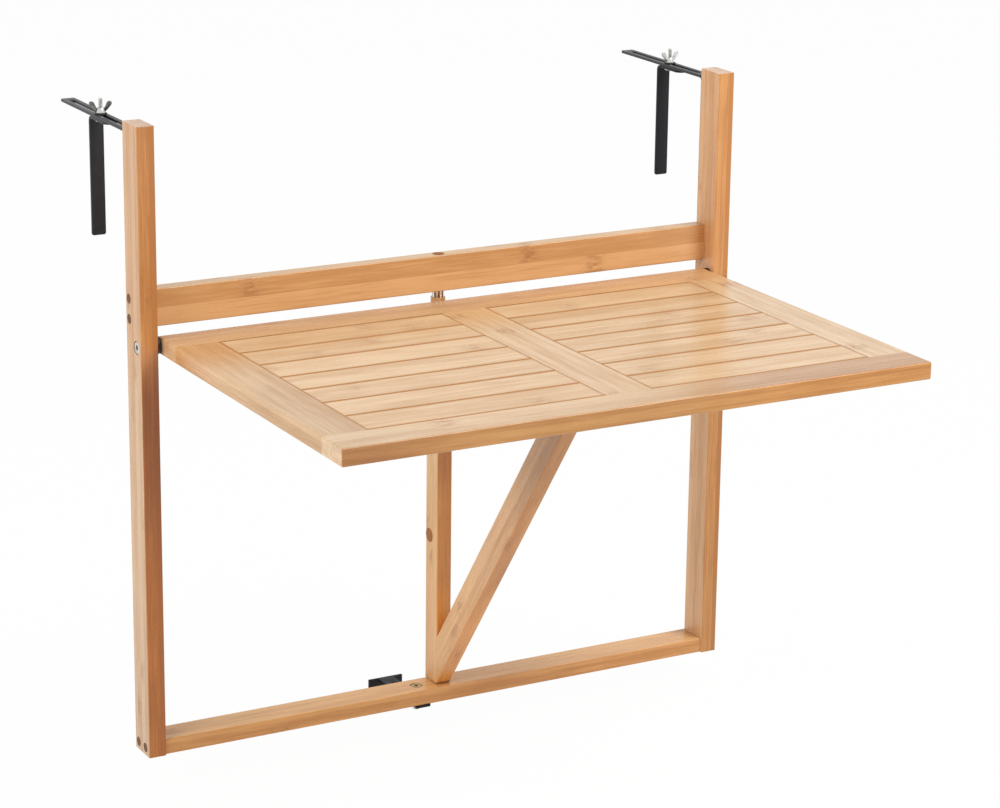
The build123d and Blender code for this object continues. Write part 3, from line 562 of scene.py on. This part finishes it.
members.update({
    "table_front_rail": dict(
        grain=GRAIN_X, flat="cbaa83", edge="ab7441", knot=0.5,
        turns=[("cfac83", "bf894f", 0.02, 0.13), ("b88c63", "c78b4c", 0.30, 0.46)]
    ),
    "table_rear_rail": dict(
        grain=GRAIN_X, flat="c99e71", edge="c58d52", turns=[("d2a270", "c58d52", 0.28, 0.40)]
    ),
    "left_stile": dict(
        grain=GRAIN_Y, flat="c29d74", edge=STILE_EDGE, knot=0.5,
        turns=[("caa67b", STILE_EDGE, 0.12, 0.19), ("c79563", STILE_EDGE, 0.20, 0.30)]
    ),
    "centre_stile": dict(
        grain=GRAIN_Y, flat="d4b188", edge=STILE_EDGE, knot=0.5, turns=[("d5aa77", STILE_EDGE, 0.24, 0.31)]
    ),
    "right_stile": dict(
        grain=GRAIN_Y, flat="d9b992", edge=STILE_EDGE, knot=0.5, turns=[("dcb689", STILE_EDGE, 0.25, 0.31)]
    )
})
slats = [name for name in nodes if "_slat_" in name]
for name in slats:
    members[name] = dict(grain=GRAIN_X, flat=SLAT, edge=GROOVE_WALL_SHADE, rim=True)
print(len(slats), "slats and their frame have their colours")

# %% Colours of the gate, and all the boards finished
# Painted contact shadow: the gate post and the brace start in these darker colours at their feet, where they
# stand on the rail.
FOOT_SHADOW_FLAT = "b47f49"
FOOT_SHADOW_EDGE = "a06a35"
FOOT_SHADE = (0.0008, 0.0028)
DOWEL = "cf9a62"

members.update({
    "gate_post": dict(
        grain=GRAIN_Z, flat=FOOT_SHADOW_FLAT, edge=FOOT_SHADOW_EDGE, strip=0.009, contrast=0.7, knot=0.45,
        turns=[
            ("d3a46f", "e09447", *FOOT_SHADE), ("d5a56c", "ca8644", 0.085, 0.115),
            ("dcaf78", "b8763b", 0.185, 0.240)
        ]
    ),
    "gate_top_rail": dict(grain=GRAIN_Y, flat="d8a870", edge="c4854a"),
    "gate_brace": dict(
        grain=GRAIN_BRACE, flat=FOOT_SHADOW_FLAT, edge=FOOT_SHADOW_EDGE, strip=0.010, contrast=0.6, knot=0.45,
        turns=[
            ("d5a56e", "df9a50", *FOOT_SHADE), ("cb9e6f", "c68749", 0.08, 0.20),
            ("b08860", "bb8147", 0.26, 0.36)
        ]
    ),
    "gate_upper_dowel": dict(grain=GRAIN_Z, flat=DOWEL, edge=DOWEL)
})
for seed, (name, look) in enumerate(sorted(members.items()), start=1):
    dress(name, bamboo(f"bamboo_{name}", name, seed, **look))
print(len(members), "wooden members finished, each with its own grain")

# %% [markdown]
# ## Dowel ends
# A dowel end shows the stem cut across: a dense field of nearly black dots on brown, much darker than the
# boards because cut fibres drink the varnish. Fine noise in all directions gives the dots.

# %% End grain for dowels and the plug
DOWEL_DOTS = (900.0, 1500.0, 1500.0)
DOWEL_DOT_LEVELS = (0.35, 0.65)
DOWEL_CLOUDS = (60.0, 260.0, 260.0)
DOWEL_DOT_SHARE = 0.7
DOWEL_CLOUD_SHARE = 0.8
DOWEL_BUMP = (0.2, 0.0003)
DOWEL_ROUGHNESS = 0.5
DOWEL_DOT_ROUGHNESS = 0.15
DOWEL_SHINE = 0.3


def end_grain(name, pale, dark):
    """Bamboo cut across, as two colours with dots and clouds between them."""
    material, shader, here = new_finish(name)
    dots = noise(here, DOWEL_DOTS, detail=2.0).fade(*DOWEL_DOT_LEVELS)
    cloud = noise(here, DOWEL_CLOUDS, (2.0, 0.0, 0.0))
    mixture = dots * DOWEL_DOT_SHARE + (cloud - 0.5) * DOWEL_CLOUD_SHARE
    colour = blend(mixture, linear(pale), linear(dark))
    relief = bumped(dots, *DOWEL_BUMP)
    roughness = DOWEL_ROUGHNESS + dots * DOWEL_DOT_ROUGHNESS
    finish_with(shader, Base_Color=colour, Roughness=roughness, Normal=relief, Specular_IOR_Level=DOWEL_SHINE)
    return material


dowel_wood = end_grain("dowel_end_grain", "7d5230", "2c1a0e")
dowel_nodes = [name for name in nodes if name.endswith("_dowels")]
for name in dowel_nodes:
    dress(name, dowel_wood)
# The plug's deep reddish brown is partly its end grain and partly painted shade.
dress("gate_side_plug", end_grain("plug_end_grain_and_shade", "ae7038", "6f421c"))
print(len(dowel_nodes), "dowel groups and the gate's plug finished")

# %% [markdown]
# ## Black straps
# The straps are flat steel with a black powder coat: a slightly pebbled, half-gloss skin that shows grey
# where it mirrors something white at a low angle. The pebble is a bump from noise about a millimetre across.
# Two of the straps were coated with less shine.

# %% Powder-coated steel
PEBBLES = evenly(1100.0)
COAT_PATCHES = evenly(60.0)
COAT_COLOURS = (linear("141519"), linear("202125"))
COAT_BUMP = (0.16, 0.0003)
COAT_ROUGHNESS = 0.34
PATCH_ROUGHNESS = 0.16


def powder_coat(name, shine):
    """A pebbled black coat."""
    material, shader, here = new_finish(name)
    pebble = noise(here, PEBBLES, detail=2.0)
    patch = noise(here, COAT_PATCHES, (5.0, 0.0, 0.0), 2.0)
    colour = blend(patch, *COAT_COLOURS)
    relief = bumped(pebble, *COAT_BUMP)
    roughness = COAT_ROUGHNESS + patch * PATCH_ROUGHNESS
    finish_with(shader, Base_Color=colour, Roughness=roughness, Normal=relief, Specular_IOR_Level=shine)
    return material


black = powder_coat("black_powder_coat", 0.44)
deep_black = powder_coat("deep_black_coat", 0.22)
print("two black coats ready")

# %% [markdown]
# ## Plated metal and washers
# Bolts and nuts are zinc plated: a soft grey mirror with cloudy patches and fine turning marks. The bolt in
# the lower rail has the yellow tint of another plating, and the washer under it is coated black. The gate's
# pin is bare steel that was ground along its length, so that bright and dark flats follow each other round
# it. The washers beside the table and under the wing nuts are dark and matt.

# %% Zinc, yellow zinc and the ground pin
PLATE_CLOUDS = evenly(240.0)
CLOUD_LEVELS = (0.3, 0.7)
TURNING_MARKS = (700.0, 700.0, 5200.0)
MARK_BUMP = (0.08, 0.0001)
PLATE_ROUGHNESS = 0.20
CLOUD_ROUGHNESS = 0.16
MARK_ROUGHNESS = 0.1
GRINDING_MARKS = (1500.0, 1500.0, 60.0)
MARK_SHARE = 2.0
PIN_FLATS = 9.0
FLAT_LEVELS = (-0.5, 0.6)
PIN_COLOURS = (linear("f2ece6"), linear("84705e"))
PIN_ROUGHNESS = 0.14


def plated(name, bright, dull):
    """Plated metal with cloudy patches of two colours."""
    material, shader, here = new_finish(name)
    cloud = noise(here, PLATE_CLOUDS, (0.0, 3.0, 0.0), 3.0)
    marks = noise(here, TURNING_MARKS)
    colour = blend(cloud.fade(*CLOUD_LEVELS), linear(bright), linear(dull))
    relief = bumped(marks, *MARK_BUMP)
    roughness = PLATE_ROUGHNESS + cloud * CLOUD_ROUGHNESS + (marks - 0.5) * MARK_ROUGHNESS
    finish_with(shader, Base_Color=colour, Metallic=1.0, Roughness=roughness, Normal=relief)
    return material


def ground_pin(axis):
    """Bare steel with bright and dark flats round an upright axis."""
    material, shader, here = new_finish("polished_pin")
    x, y = split(stretched(here, (1.0, 1.0, 1.0), (-axis.x, -axis.y, 0.0)))[:2]
    round_it = here.sum("ARCTAN2", y, x)
    flats = here.sum("SINE", round_it * PIN_FLATS)
    marks = noise(here, GRINDING_MARKS)
    colour = blend((flats + (marks - 0.5) * MARK_SHARE).fade(*FLAT_LEVELS), *PIN_COLOURS)
    roughness = PIN_ROUGHNESS + marks * MARK_ROUGHNESS
    finish_with(shader, Base_Color=colour, Metallic=1.0, Roughness=roughness)
    return material


zinc = plated("zinc_plate", "dededb", "bdbdb9")
# A darker grey that serves as painted shade on the left wing nut's ears.
shaded_zinc = plated("shaded_zinc_plate", "8c8a86", "6a6865")
yellow_zinc = plated("yellow_zinc_plate", "b99a62", "8f7442")
print("three platings ready")

# %% Dark washers, and all the metal finished
WASHER_GRAIN = evenly(800.0)
WASHER_COLOURS = (linear("1d1815"), linear("372c26"))
WASHER_BUMP = (0.15, 0.0002)
WASHER_ROUGHNESS = 0.55
GRAIN_ROUGHNESS = 0.15
METAL_ENDINGS = ("bolt", "insert", "screws", "pin", "washer", "nut")


def dark_washer():
    """A matt, finely grained dark brown."""
    material, shader, here = new_finish("dark_washer")
    grain = noise(here, WASHER_GRAIN, (0.0, 0.0, 1.0), 2.0)
    colour = blend(grain, *WASHER_COLOURS)
    roughness = WASHER_ROUGHNESS + grain * GRAIN_ROUGHNESS
    finish_with(shader, Base_Color=colour, Roughness=roughness, Normal=bumped(grain, *WASHER_BUMP))
    return material


rubber = dark_washer()
own_finish = {"spacer_bolt": yellow_zinc, "spacer_washer": black, "gate_pivot_pin": ground_pin(PIN_MIDDLE)}
metal_nodes = [name for name in nodes if name.endswith(METAL_ENDINGS)]
for name in metal_nodes:
    usual = rubber if name.endswith(("pivot_washer", "hook_washer")) else zinc
    dress(name, own_finish.get(name, usual))
print(len(metal_nodes), "metal parts and washers finished")

# %% [markdown]
# ## Tools for turning small parts
# The loaded bolts and nuts are plain, because threads and rounded castings are slow to work with in a solid
# model. Here they are made again as a turner would: a line is traced point by point, spun round an axis for a
# round part, wound up a screw for a thread, or filled and thickened for a flat one. Lengths are in
# millimetres.

# %% Select, edit and trace
MM = 0.001
MERGE_REACH = MM / 1000


def pick(*pieces):
    """Selects only these objects; the first one is the active one."""
    bpy.ops.object.select_all(action="DESELECT")
    for piece in pieces:
        piece.select_set(True)
    bpy.context.view_layer.objects.active = pieces[0]


@contextmanager
def editing(piece):
    """Edit mode with all of a piece selected, and object mode again afterwards."""
    pick(piece)
    bpy.ops.object.mode_set(mode="EDIT")
    bpy.ops.mesh.select_all(action="SELECT")
    yield
    bpy.ops.object.mode_set(mode="OBJECT")


def tidied(piece):
    """Joins doubled corners, drops faces with no area and turns the others outwards."""
    with editing(piece):
        bpy.ops.mesh.remove_doubles(threshold=MERGE_REACH)
        bpy.ops.mesh.dissolve_degenerate(threshold=MERGE_REACH)
        bpy.ops.mesh.select_all(action="SELECT")
        bpy.ops.mesh.normals_make_consistent(inside=False)
    return piece


def traced(name, points):
    """A chain of edges through points, drawn out of one corner."""
    bpy.ops.object.select_all(action="DESELECT")
    bpy.ops.mesh.primitive_plane_add(size=MM)
    piece = bpy.context.object
    piece.name = name
    bpy.ops.object.mode_set(mode="EDIT")
    bpy.ops.mesh.merge(type="CENTER")
    last = Vector(points[0]) * MM
    bpy.ops.transform.translate(value=last)
    for point in points[1:]:
        step = Vector(point) * MM - last
        bpy.ops.mesh.extrude_vertices_move(TRANSFORM_OT_translate={"value": step})
        last = last + step
    bpy.ops.object.mode_set(mode="OBJECT")
    return piece


def looped(name, points):
    """A closed chain of edges."""
    return tidied(traced(name, points + points[:1]))


print("tools for tracing ready")

# %% Turn and wind
TURN_STEPS = 48
THREAD_STEPS = 24
CREST_START = 0.4
CREST_END = 0.6
TOOTH_END = 0.98


def turned(name, profile, steps=TURN_STEPS):
    """A profile of radius and height points, spun once round the Z axis."""
    piece = traced(name, [(radius, 0.0, height) for radius, height in profile])
    with editing(piece):
        bpy.ops.mesh.spin(steps=steps, angle=2 * math.pi, center=(0.0, 0.0, 0.0), axis=(0.0, 0.0, 1.0))
    return tidied(piece)


def with_modifier(piece, kind, **settings):
    """Adds a modifier, sets it up and applies it."""
    pick(piece)
    bpy.ops.object.modifier_add(type=kind)
    modifier = piece.modifiers[-1]
    for name, value in settings.items():
        setattr(modifier, name, value)
    bpy.ops.object.modifier_apply(modifier=modifier.name)


def threaded(name, radius, root, pitch, low, high):
    """A thread between two heights: one tooth, sunk in the core that carries it, wound up and capped."""
    sides = ((root, 0.0), (radius, CREST_START), (radius, CREST_END), (root, TOOTH_END))
    tooth = [(reach, 0.0, low + share * pitch) for reach, share in sides]
    piece = looped(name, tooth)
    with_modifier(
        piece, "SCREW", angle=2 * math.pi, screw_offset=pitch * MM,
        iterations=math.floor((high - low) / pitch) - 1, steps=THREAD_STEPS, render_steps=THREAD_STEPS
    )
    with editing(piece):
        bpy.ops.mesh.fill_holes(sides=len(tooth))
    return tidied(piece)


print("tools for turning ready")

# %% Join, copy, smooth and put in place
SMOOTH_BELOW = math.radians(35)


def joined(name, *pieces):
    """Several meshes as one piece."""
    pick(*pieces)
    bpy.ops.object.join()
    piece = bpy.context.object
    piece.name = name
    return piece


def copied(piece, name, place, turn=0.0, tip=0.0):
    """A copy with its own mesh, turned about Z, tipped about X and put at a place, all of it in its mesh."""
    pick(piece)
    bpy.ops.object.duplicate(linked=False)
    copy = bpy.context.object
    copy.name = name
    copy.rotation_mode = "ZYX"
    copy.rotation_euler = (tip, 0.0, turn)
    copy.location = place
    bpy.ops.object.transform_apply(location=True, rotation=True, scale=True)
    return copy


def discard(*pieces):
    """Deletes what was only needed to make something else."""
    pick(*pieces)
    bpy.ops.object.delete()


def smoothed(piece, material):
    """Smooth shading with sharp edges kept, and one finish."""
    pick(piece)
    bpy.ops.object.shade_smooth_by_angle(angle=SMOOTH_BELOW)
    piece.data.materials.clear()
    piece.data.materials.append(material)
    return piece


def stands_for(piece, node, body):
    """Hides a loaded piece and puts the piece that stands for it on a body."""
    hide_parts(node)
    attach(piece, body)
    print(piece.name, "stands for", node, "with", len(piece.data.polygons), "faces")


print("tools for placing ready")

# %% [markdown]
# ## Clamp bolts
# Each hook is held by a carriage bolt: a low domed head under the hook's tongue, and a threaded shank that
# stands up through the bar's slot. The bolt is turned at its own height in the table, where 0 is the bar's
# underside. Its thread is a closed ridge that sits in the core, and a copy of the bolt goes to each hook.

# %% Turn the clamp bolts
BOLT_RADIUS = 2.0
BOLT_PITCH = 0.7
CORE_RADIUS = 1.65
THREAD_ROOT = 1.5
TIP_CHAMFER = 0.3
HEAD_RADIUS = 5.5
HEAD_RIM = 0.8
TONGUE_THICKNESS = 2.5
DOME_STEPS = 7
SIDES = ("left", "right")

bolt_bottom, bolt_top = [corner.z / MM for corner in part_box("left_hook_bolt")]
head_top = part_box("left_hook")[1].z / MM - TONGUE_THICKNESS
dome_height = head_top - HEAD_RIM - bolt_bottom
dome = []
for step in range(DOME_STEPS + 1):
    angle = QUARTER * step / DOME_STEPS
    dome.append((HEAD_RADIUS * math.sin(angle), bolt_bottom + dome_height * (1.0 - math.cos(angle))))
core = turned("bolt_core", dome + [
    (HEAD_RADIUS, head_top), (CORE_RADIUS, head_top), (CORE_RADIUS, bolt_top - TIP_CHAMFER),
    (CORE_RADIUS - TIP_CHAMFER, bolt_top), (0.0, bolt_top)
])
thread = threaded("bolt_thread", BOLT_RADIUS, THREAD_ROOT, BOLT_PITCH, 0.0, bolt_top - TIP_CHAMFER)
bolt = smoothed(joined("clamp_bolt", core, thread), zinc)
for side in SIDES:
    low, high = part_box(f"{side}_hook_bolt")
    middle = (low + high) / 2
    piece = copied(bolt, f"{side}_threaded_bolt", (middle.x, middle.y, 0.0))
    stands_for(piece, f"{side}_hook_bolt", f"{side}_clamp")
discard(bolt)

# %% [markdown]
# ## Wing nuts
# A wing nut is cast: a hub with a bore, and two ears that sweep up and out and have soft edges. The ear's
# outline is traced, filled, thickened and bevelled. The left nut stands turned a little one way and the right
# the other, as they were left after tightening, and the left one's ears are painted a darker grey as shade.

# %% Cast a hub and two ears
HUB_RADIUS = 4.25
HUB_TOP_RADIUS = 3.5
HUB_HEIGHT = 5.0
HUB_BORE = BOLT_RADIUS + 0.1
BORE_CHAMFER = 0.4
EAR_REACH = 10.75
EAR_HEIGHT = 11.0
EAR_THICKNESS = 2.0
EAR_SOFTNESS = 0.4
SOFT_ABOVE = math.radians(50)

hub = turned("nut_hub", [
    (HUB_BORE, 0.0), (HUB_RADIUS - 0.3, 0.0), (HUB_RADIUS, 0.3), (HUB_RADIUS - 0.15, 1.4),
    (HUB_TOP_RADIUS, HUB_HEIGHT - 0.5), (HUB_TOP_RADIUS - 0.4, HUB_HEIGHT),
    (HUB_BORE + BORE_CHAMFER, HUB_HEIGHT), (HUB_BORE, HUB_HEIGHT - BORE_CHAMFER), (HUB_BORE, 0.0)
])
ear_outline = [
    (2.8, 1.1), (4.4, 1.0), (6.2, 2.8), (8.4, 5.2), (10.2, 7.4), (EAR_REACH - 0.1, 8.6), (EAR_REACH, 9.6),
    (EAR_REACH - 0.35, 10.5), (EAR_REACH - 1.2, EAR_HEIGHT), (7.7, EAR_HEIGHT), (6.6, 10.5), (5.9, 9.4),
    (4.9, 7.2), (4.2, 5.7), (3.6, 4.8), (2.8, 4.7)
]
ear = traced("nut_ear", [(x, -EAR_THICKNESS / 2, z) for x, z in ear_outline])
with editing(ear):
    bpy.ops.mesh.edge_face_add()
    bpy.ops.mesh.extrude_region_move(TRANSFORM_OT_translate={"value": (0.0, EAR_THICKNESS * MM, 0.0)})
with_modifier(
    tidied(ear), "BEVEL", width=EAR_SOFTNESS * MM, segments=3, limit_method="ANGLE", angle_limit=SOFT_ABOVE
)
other_ear = copied(ear, "other_ear", (0.0, 0.0, 0.0), math.pi)
# Both ears take the darker grey of painted shade; the right nut gets plain zinc again below.
ears = smoothed(joined("nut_ears", ear, other_ear), shaded_zinc)
nut = joined("cast_nut", smoothed(hub, zinc), ears)
print("one nut cast with", len(nut.data.polygons), "faces")

# %% Put the wing nuts on their bolts
NUT_TURNS = {"left": math.radians(-15), "right": math.radians(8)}

for side in SIDES:
    low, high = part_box(f"{side}_wing_nut")
    middle = (low + high) / 2
    piece = copied(nut, f"{side}_cast_nut", (middle.x, middle.y, low.z), NUT_TURNS[side])
    # Only the left nut keeps the painted shade on its ears.
    if side == "right":
        smoothed(piece, zinc)
    stands_for(piece, f"{side}_wing_nut", f"{side}_nut")
discard(nut)

# %% [markdown]
# ## Wood screws
# Two countersunk screws hold each bracket's leg to its post. From behind, their cross recesses show. Cutting
# a cross out of the head would leave slivers, so the screw is turned with an open top. The recess's mouth and
# floor are traced as two crosses and bridged, and the ring between the mouth and the head's rim is filled.

# %% Turn a bracket screw
SCREW_HEAD_RADIUS = 3.9
SCREW_HEAD_RIM = 0.2
SCREW_HEAD_HEIGHT = 2.2
SCREW_RADIUS = 1.9
SCREW_LENGTH = 16.0
SCREW_TIP = 3.0
CROSS_DEPTH = 1.6
MOUTH_LENGTH = 4.4
MOUTH_WIDTH = 1.0
FLOOR_LENGTH = 2.1
FLOOR_WIDTH = 0.7
SLACK = 0.01


def cross(name, length, width, height):
    """The outline of a cross with four equal arms."""
    arm = [(length / 2, -width / 2), (length / 2, width / 2), (width / 2, width / 2)]
    points = []
    for _ in range(4):
        points += [(x, y, height) for x, y in arm]
        arm = [(-y, x) for x, y in arm]
    return looped(name, points)


shank = turned("screw_shank", [
    (SCREW_HEAD_RADIUS, 0.0), (SCREW_HEAD_RADIUS, -SCREW_HEAD_RIM), (SCREW_RADIUS, -SCREW_HEAD_HEIGHT),
    (SCREW_RADIUS, SCREW_TIP - SCREW_LENGTH), (0.0, -SCREW_LENGTH)
])
mouth = cross("mouth", MOUTH_LENGTH, MOUTH_WIDTH, 0.0)
recess = cross("recess", FLOOR_LENGTH, FLOOR_WIDTH, -CROSS_DEPTH)
screw = joined("screw", shank, mouth, recess)
print("a screw with an open head has", len(screw.data.polygons), "faces")


# %% Close its head
@contextmanager
def editing_corners(piece, wanted):
    """Edit mode with only those corners selected whose place in millimetres passes a test."""
    with editing(piece):
        bpy.ops.mesh.select_all(action="DESELECT")
    for corner in piece.data.vertices:
        corner.select = wanted(corner.co / MM)
    bpy.ops.object.mode_set(mode="EDIT")
    yield
    bpy.ops.object.mode_set(mode="OBJECT")


def at_top(place):
    return abs(place.z) < SLACK


def at_floor(place):
    return abs(place.z + CROSS_DEPTH) < SLACK


def at_mouth(place):
    return at_top(place) and place.xy.length < SCREW_HEAD_RADIUS - SLACK


with editing_corners(screw, lambda place: at_mouth(place) or at_floor(place)):
    bpy.ops.mesh.bridge_edge_loops()
with editing_corners(screw, at_floor):
    bpy.ops.mesh.edge_face_add()
with editing_corners(screw, at_top):
    bpy.ops.mesh.fill()
smoothed(tidied(screw), zinc)
print("and with a closed head", len(screw.data.polygons))

# %% Drive the screws into the posts
UPPER_SCREW_TURN = 0.3

for side in SIDES:
    low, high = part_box(f"{side}_bracket_screws")
    across = (low.x + high.x) / 2
    from_end = SCREW_HEAD_RADIUS * MM
    upper = copied(screw, "upper_screw", (across, high.y, high.z - from_end), UPPER_SCREW_TURN, -QUARTER)
    lower = copied(screw, "lower_screw", (across, high.y, low.z + from_end), 0.0, -QUARTER)
    piece = joined(f"{side}_wood_screws", upper, lower)
    stands_for(piece, f"{side}_bracket_screws", "frame")
discard(screw)

# %% [markdown]
# ## Hexagon nut
# Under the lower rail a hexagon nut holds the spacer. A real nut is chamfered by turning, so its corners are
# cut off in arcs. Crossing a hexagon bar with a turned double cone gives just that, and a bore goes through
# it.

# %% Make the spacer's nut
NUT_FLATS = 10.0
NUT_CHAMFER = 0.55
NUT_BORE = 2.7
CHAMFER_STEPS = 96
CONE_ROOM = 0.2

low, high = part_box("spacer_nut")
height = (high.z - low.z) / MM
top = height / 2
corner_radius = NUT_FLATS / math.sqrt(3)
cone_radius = corner_radius + CONE_ROOM
bpy.ops.object.select_all(action="DESELECT")
bpy.ops.mesh.primitive_cylinder_add(vertices=6, radius=corner_radius * MM, depth=height * MM)
hex_bar = bpy.context.object
double_cone = turned("double_cone", [
    (0.0, -top), (NUT_FLATS / 2, -top), (cone_radius, NUT_CHAMFER - top), (cone_radius, top - NUT_CHAMFER),
    (NUT_FLATS / 2, top), (0.0, top)
], CHAMFER_STEPS)
bore = turned("bore", [(0.0, -height), (NUT_BORE, -height), (NUT_BORE, height), (0.0, height)])
with_modifier(hex_bar, "BOOLEAN", operation="INTERSECT", object=double_cone, solver="EXACT")
with_modifier(hex_bar, "BOOLEAN", operation="DIFFERENCE", object=bore, solver="EXACT")
piece = copied(smoothed(tidied(hex_bar), zinc), "spacer_hex_nut", (low + high) / 2)
stands_for(piece, "spacer_nut", "frame")
discard(hex_bar, double_cone, bore)

# %% [markdown]
# ## Straps with soft edges
# Flat steel that has been coated has no knife edges: the coat rounds them and they catch a thin line of
# light. The straps' shapes are right, so copies of them are taken, their corners merged and their edges
# bevelled a little.

# %% Soften the straps
STRAP_SOFTNESS = 0.2
FLAT_BELOW = math.radians(1)
SHARP_ABOVE = math.radians(60)
LESS_SHINY = ("lower_spacer", "right_hook")
strap_bodies = {
    "left_bracket": "frame", "right_bracket": "frame", "left_hook": "left_clamp",
    "right_hook": "right_clamp", "lower_spacer": "lower_spacer"
}

for name, body in strap_bodies.items():
    piece = bpy.data.objects.new(f"{name}_strap", nodes[name].data.copy())
    bpy.context.scene.collection.objects.link(piece)
    with editing(tidied(piece)):
        bpy.ops.mesh.dissolve_limited(angle_limit=FLAT_BELOW)
    with_modifier(
        piece, "BEVEL", width=STRAP_SOFTNESS * MM, segments=2, limit_method="ANGLE",
        angle_limit=SHARP_ABOVE, use_clamp_overlap=False
    )
    smoothed(piece, deep_black if name in LESS_SHINY else black)
    stands_for(piece, name, body)

# %% [markdown]
# ## Floor, backdrop and light
# The picture has a plain white ground. A wide pale floor under the table takes its shadow. Rays that come
# straight from the camera, or from a mirror-like surface, see it mostly as white, and the world around it
# as well, so that the varnish and the metal have something white to mirror. From beneath, the floor is
# clear, so that the underside of the table can be looked at too. The light on the table itself stays plain
# and soft.

# %% Lay the floor
FLOOR_SIZE = 60.0
FLOOR_BELOW = 0.002
FLOOR_WHITE_SHARE = 0.97
FLOOR_MOTTLE = evenly(3.0)
FLOOR_COLOURS = (linear("f4f4f2"), linear("f8f8f6"))
FLOOR_ROUGHNESS = 0.9
WHITE = (1.0, 1.0, 1.0, 1.0)

floor_height = cad_box[0].z - FLOOR_BELOW
bpy.ops.object.select_all(action="DESELECT")
bpy.ops.mesh.primitive_plane_add(size=FLOOR_SIZE, location=(0.0, 0.0, floor_height))
floor = bpy.context.object
floor.name = "floor"
bpy.ops.object.transform_apply(location=True, rotation=True, scale=True)


def seen_as_white(start):
    """1 for rays from the camera or from a mirror-like or clear surface, otherwise 0."""
    camera_ray = start.node("ShaderNodeLightPath", output="Is Camera Ray")
    mirror_ray = start.node("ShaderNodeLightPath", output="Is Glossy Ray")
    clear_ray = start.node("ShaderNodeLightPath", output="Is Transmission Ray")
    return start.sum("MAXIMUM", start.sum("MAXIMUM", camera_ray, mirror_ray), clear_ray)


floor_paint, floor_shader, here = new_finish("pale_floor")
mottle = noise(here, FLOOR_MOTTLE, detail=2.0)
finish_with(floor_shader, Base_Color=blend(mottle, *FLOOR_COLOURS), Roughness=FLOOR_ROUGHNESS)
paint = Wire(floor_paint.node_tree, floor_shader.outputs[0])
glow = here.node("ShaderNodeEmission", {}, {"Color": WHITE, "Strength": 1.0})
white_share = seen_as_white(here) * FLOOR_WHITE_SHARE
from_above = here.node("ShaderNodeMixShader", {}, {0: white_share, 1: paint, 2: glow})
beneath = here.node("ShaderNodeNewGeometry", output="Backfacing")
clear = here.node("ShaderNodeBsdfTransparent")
both_sides = here.node("ShaderNodeMixShader", {}, {0: beneath, 1: from_above, 2: clear})
join(floor_paint.node_tree.nodes["Material Output"].inputs["Surface"], both_sides)
floor.data.materials.append(floor_paint)
print("floor laid at", round(floor_height, 3))

# %% Light the table
WORLD_LIGHT = 0.48
KEY_PLACE = Vector((1.5, -2.0, 2.3))
KEY_SIZE = 1.5
KEY_POWER = 77.0
LEFT_PLACE = Vector((-2.6, -0.5, 0.9))
LEFT_SIZE = 1.8
LEFT_POWER = 46.0

world = bpy.data.worlds.new("studio")
world.use_nodes = True
bpy.context.scene.world = world
ground = world.node_tree.nodes["Background"]
join(ground.inputs["Color"], WHITE)
join(ground.inputs["Strength"], seen_as_white(Wire(world.node_tree)) * (1.0 - WORLD_LIGHT) + WORLD_LIGHT)


def soft_box(name, place, size, power):
    """A square lamp that looks at the middle of the table."""
    lamp = bpy.data.lights.new(name, "AREA")
    lamp.shape = "SQUARE"
    lamp.size = size
    lamp.energy = power
    holder = bpy.data.objects.new(name, lamp)
    bpy.context.scene.collection.objects.link(holder)
    holder.location = place
    table_middle = (cad_box[0] + cad_box[1]) / 2
    holder.rotation_euler = (table_middle - place).to_track_quat("-Z", "Y").to_euler()
    return holder


soft_box("key_lamp", KEY_PLACE, KEY_SIZE, KEY_POWER)
left_lamp = soft_box("left_lamp", LEFT_PLACE, LEFT_SIZE, LEFT_POWER)
# The mirror image of this lamp would turn the varnished top white in views from the right.
left_lamp.visible_glossy = False
print("two soft boxes and a white world")
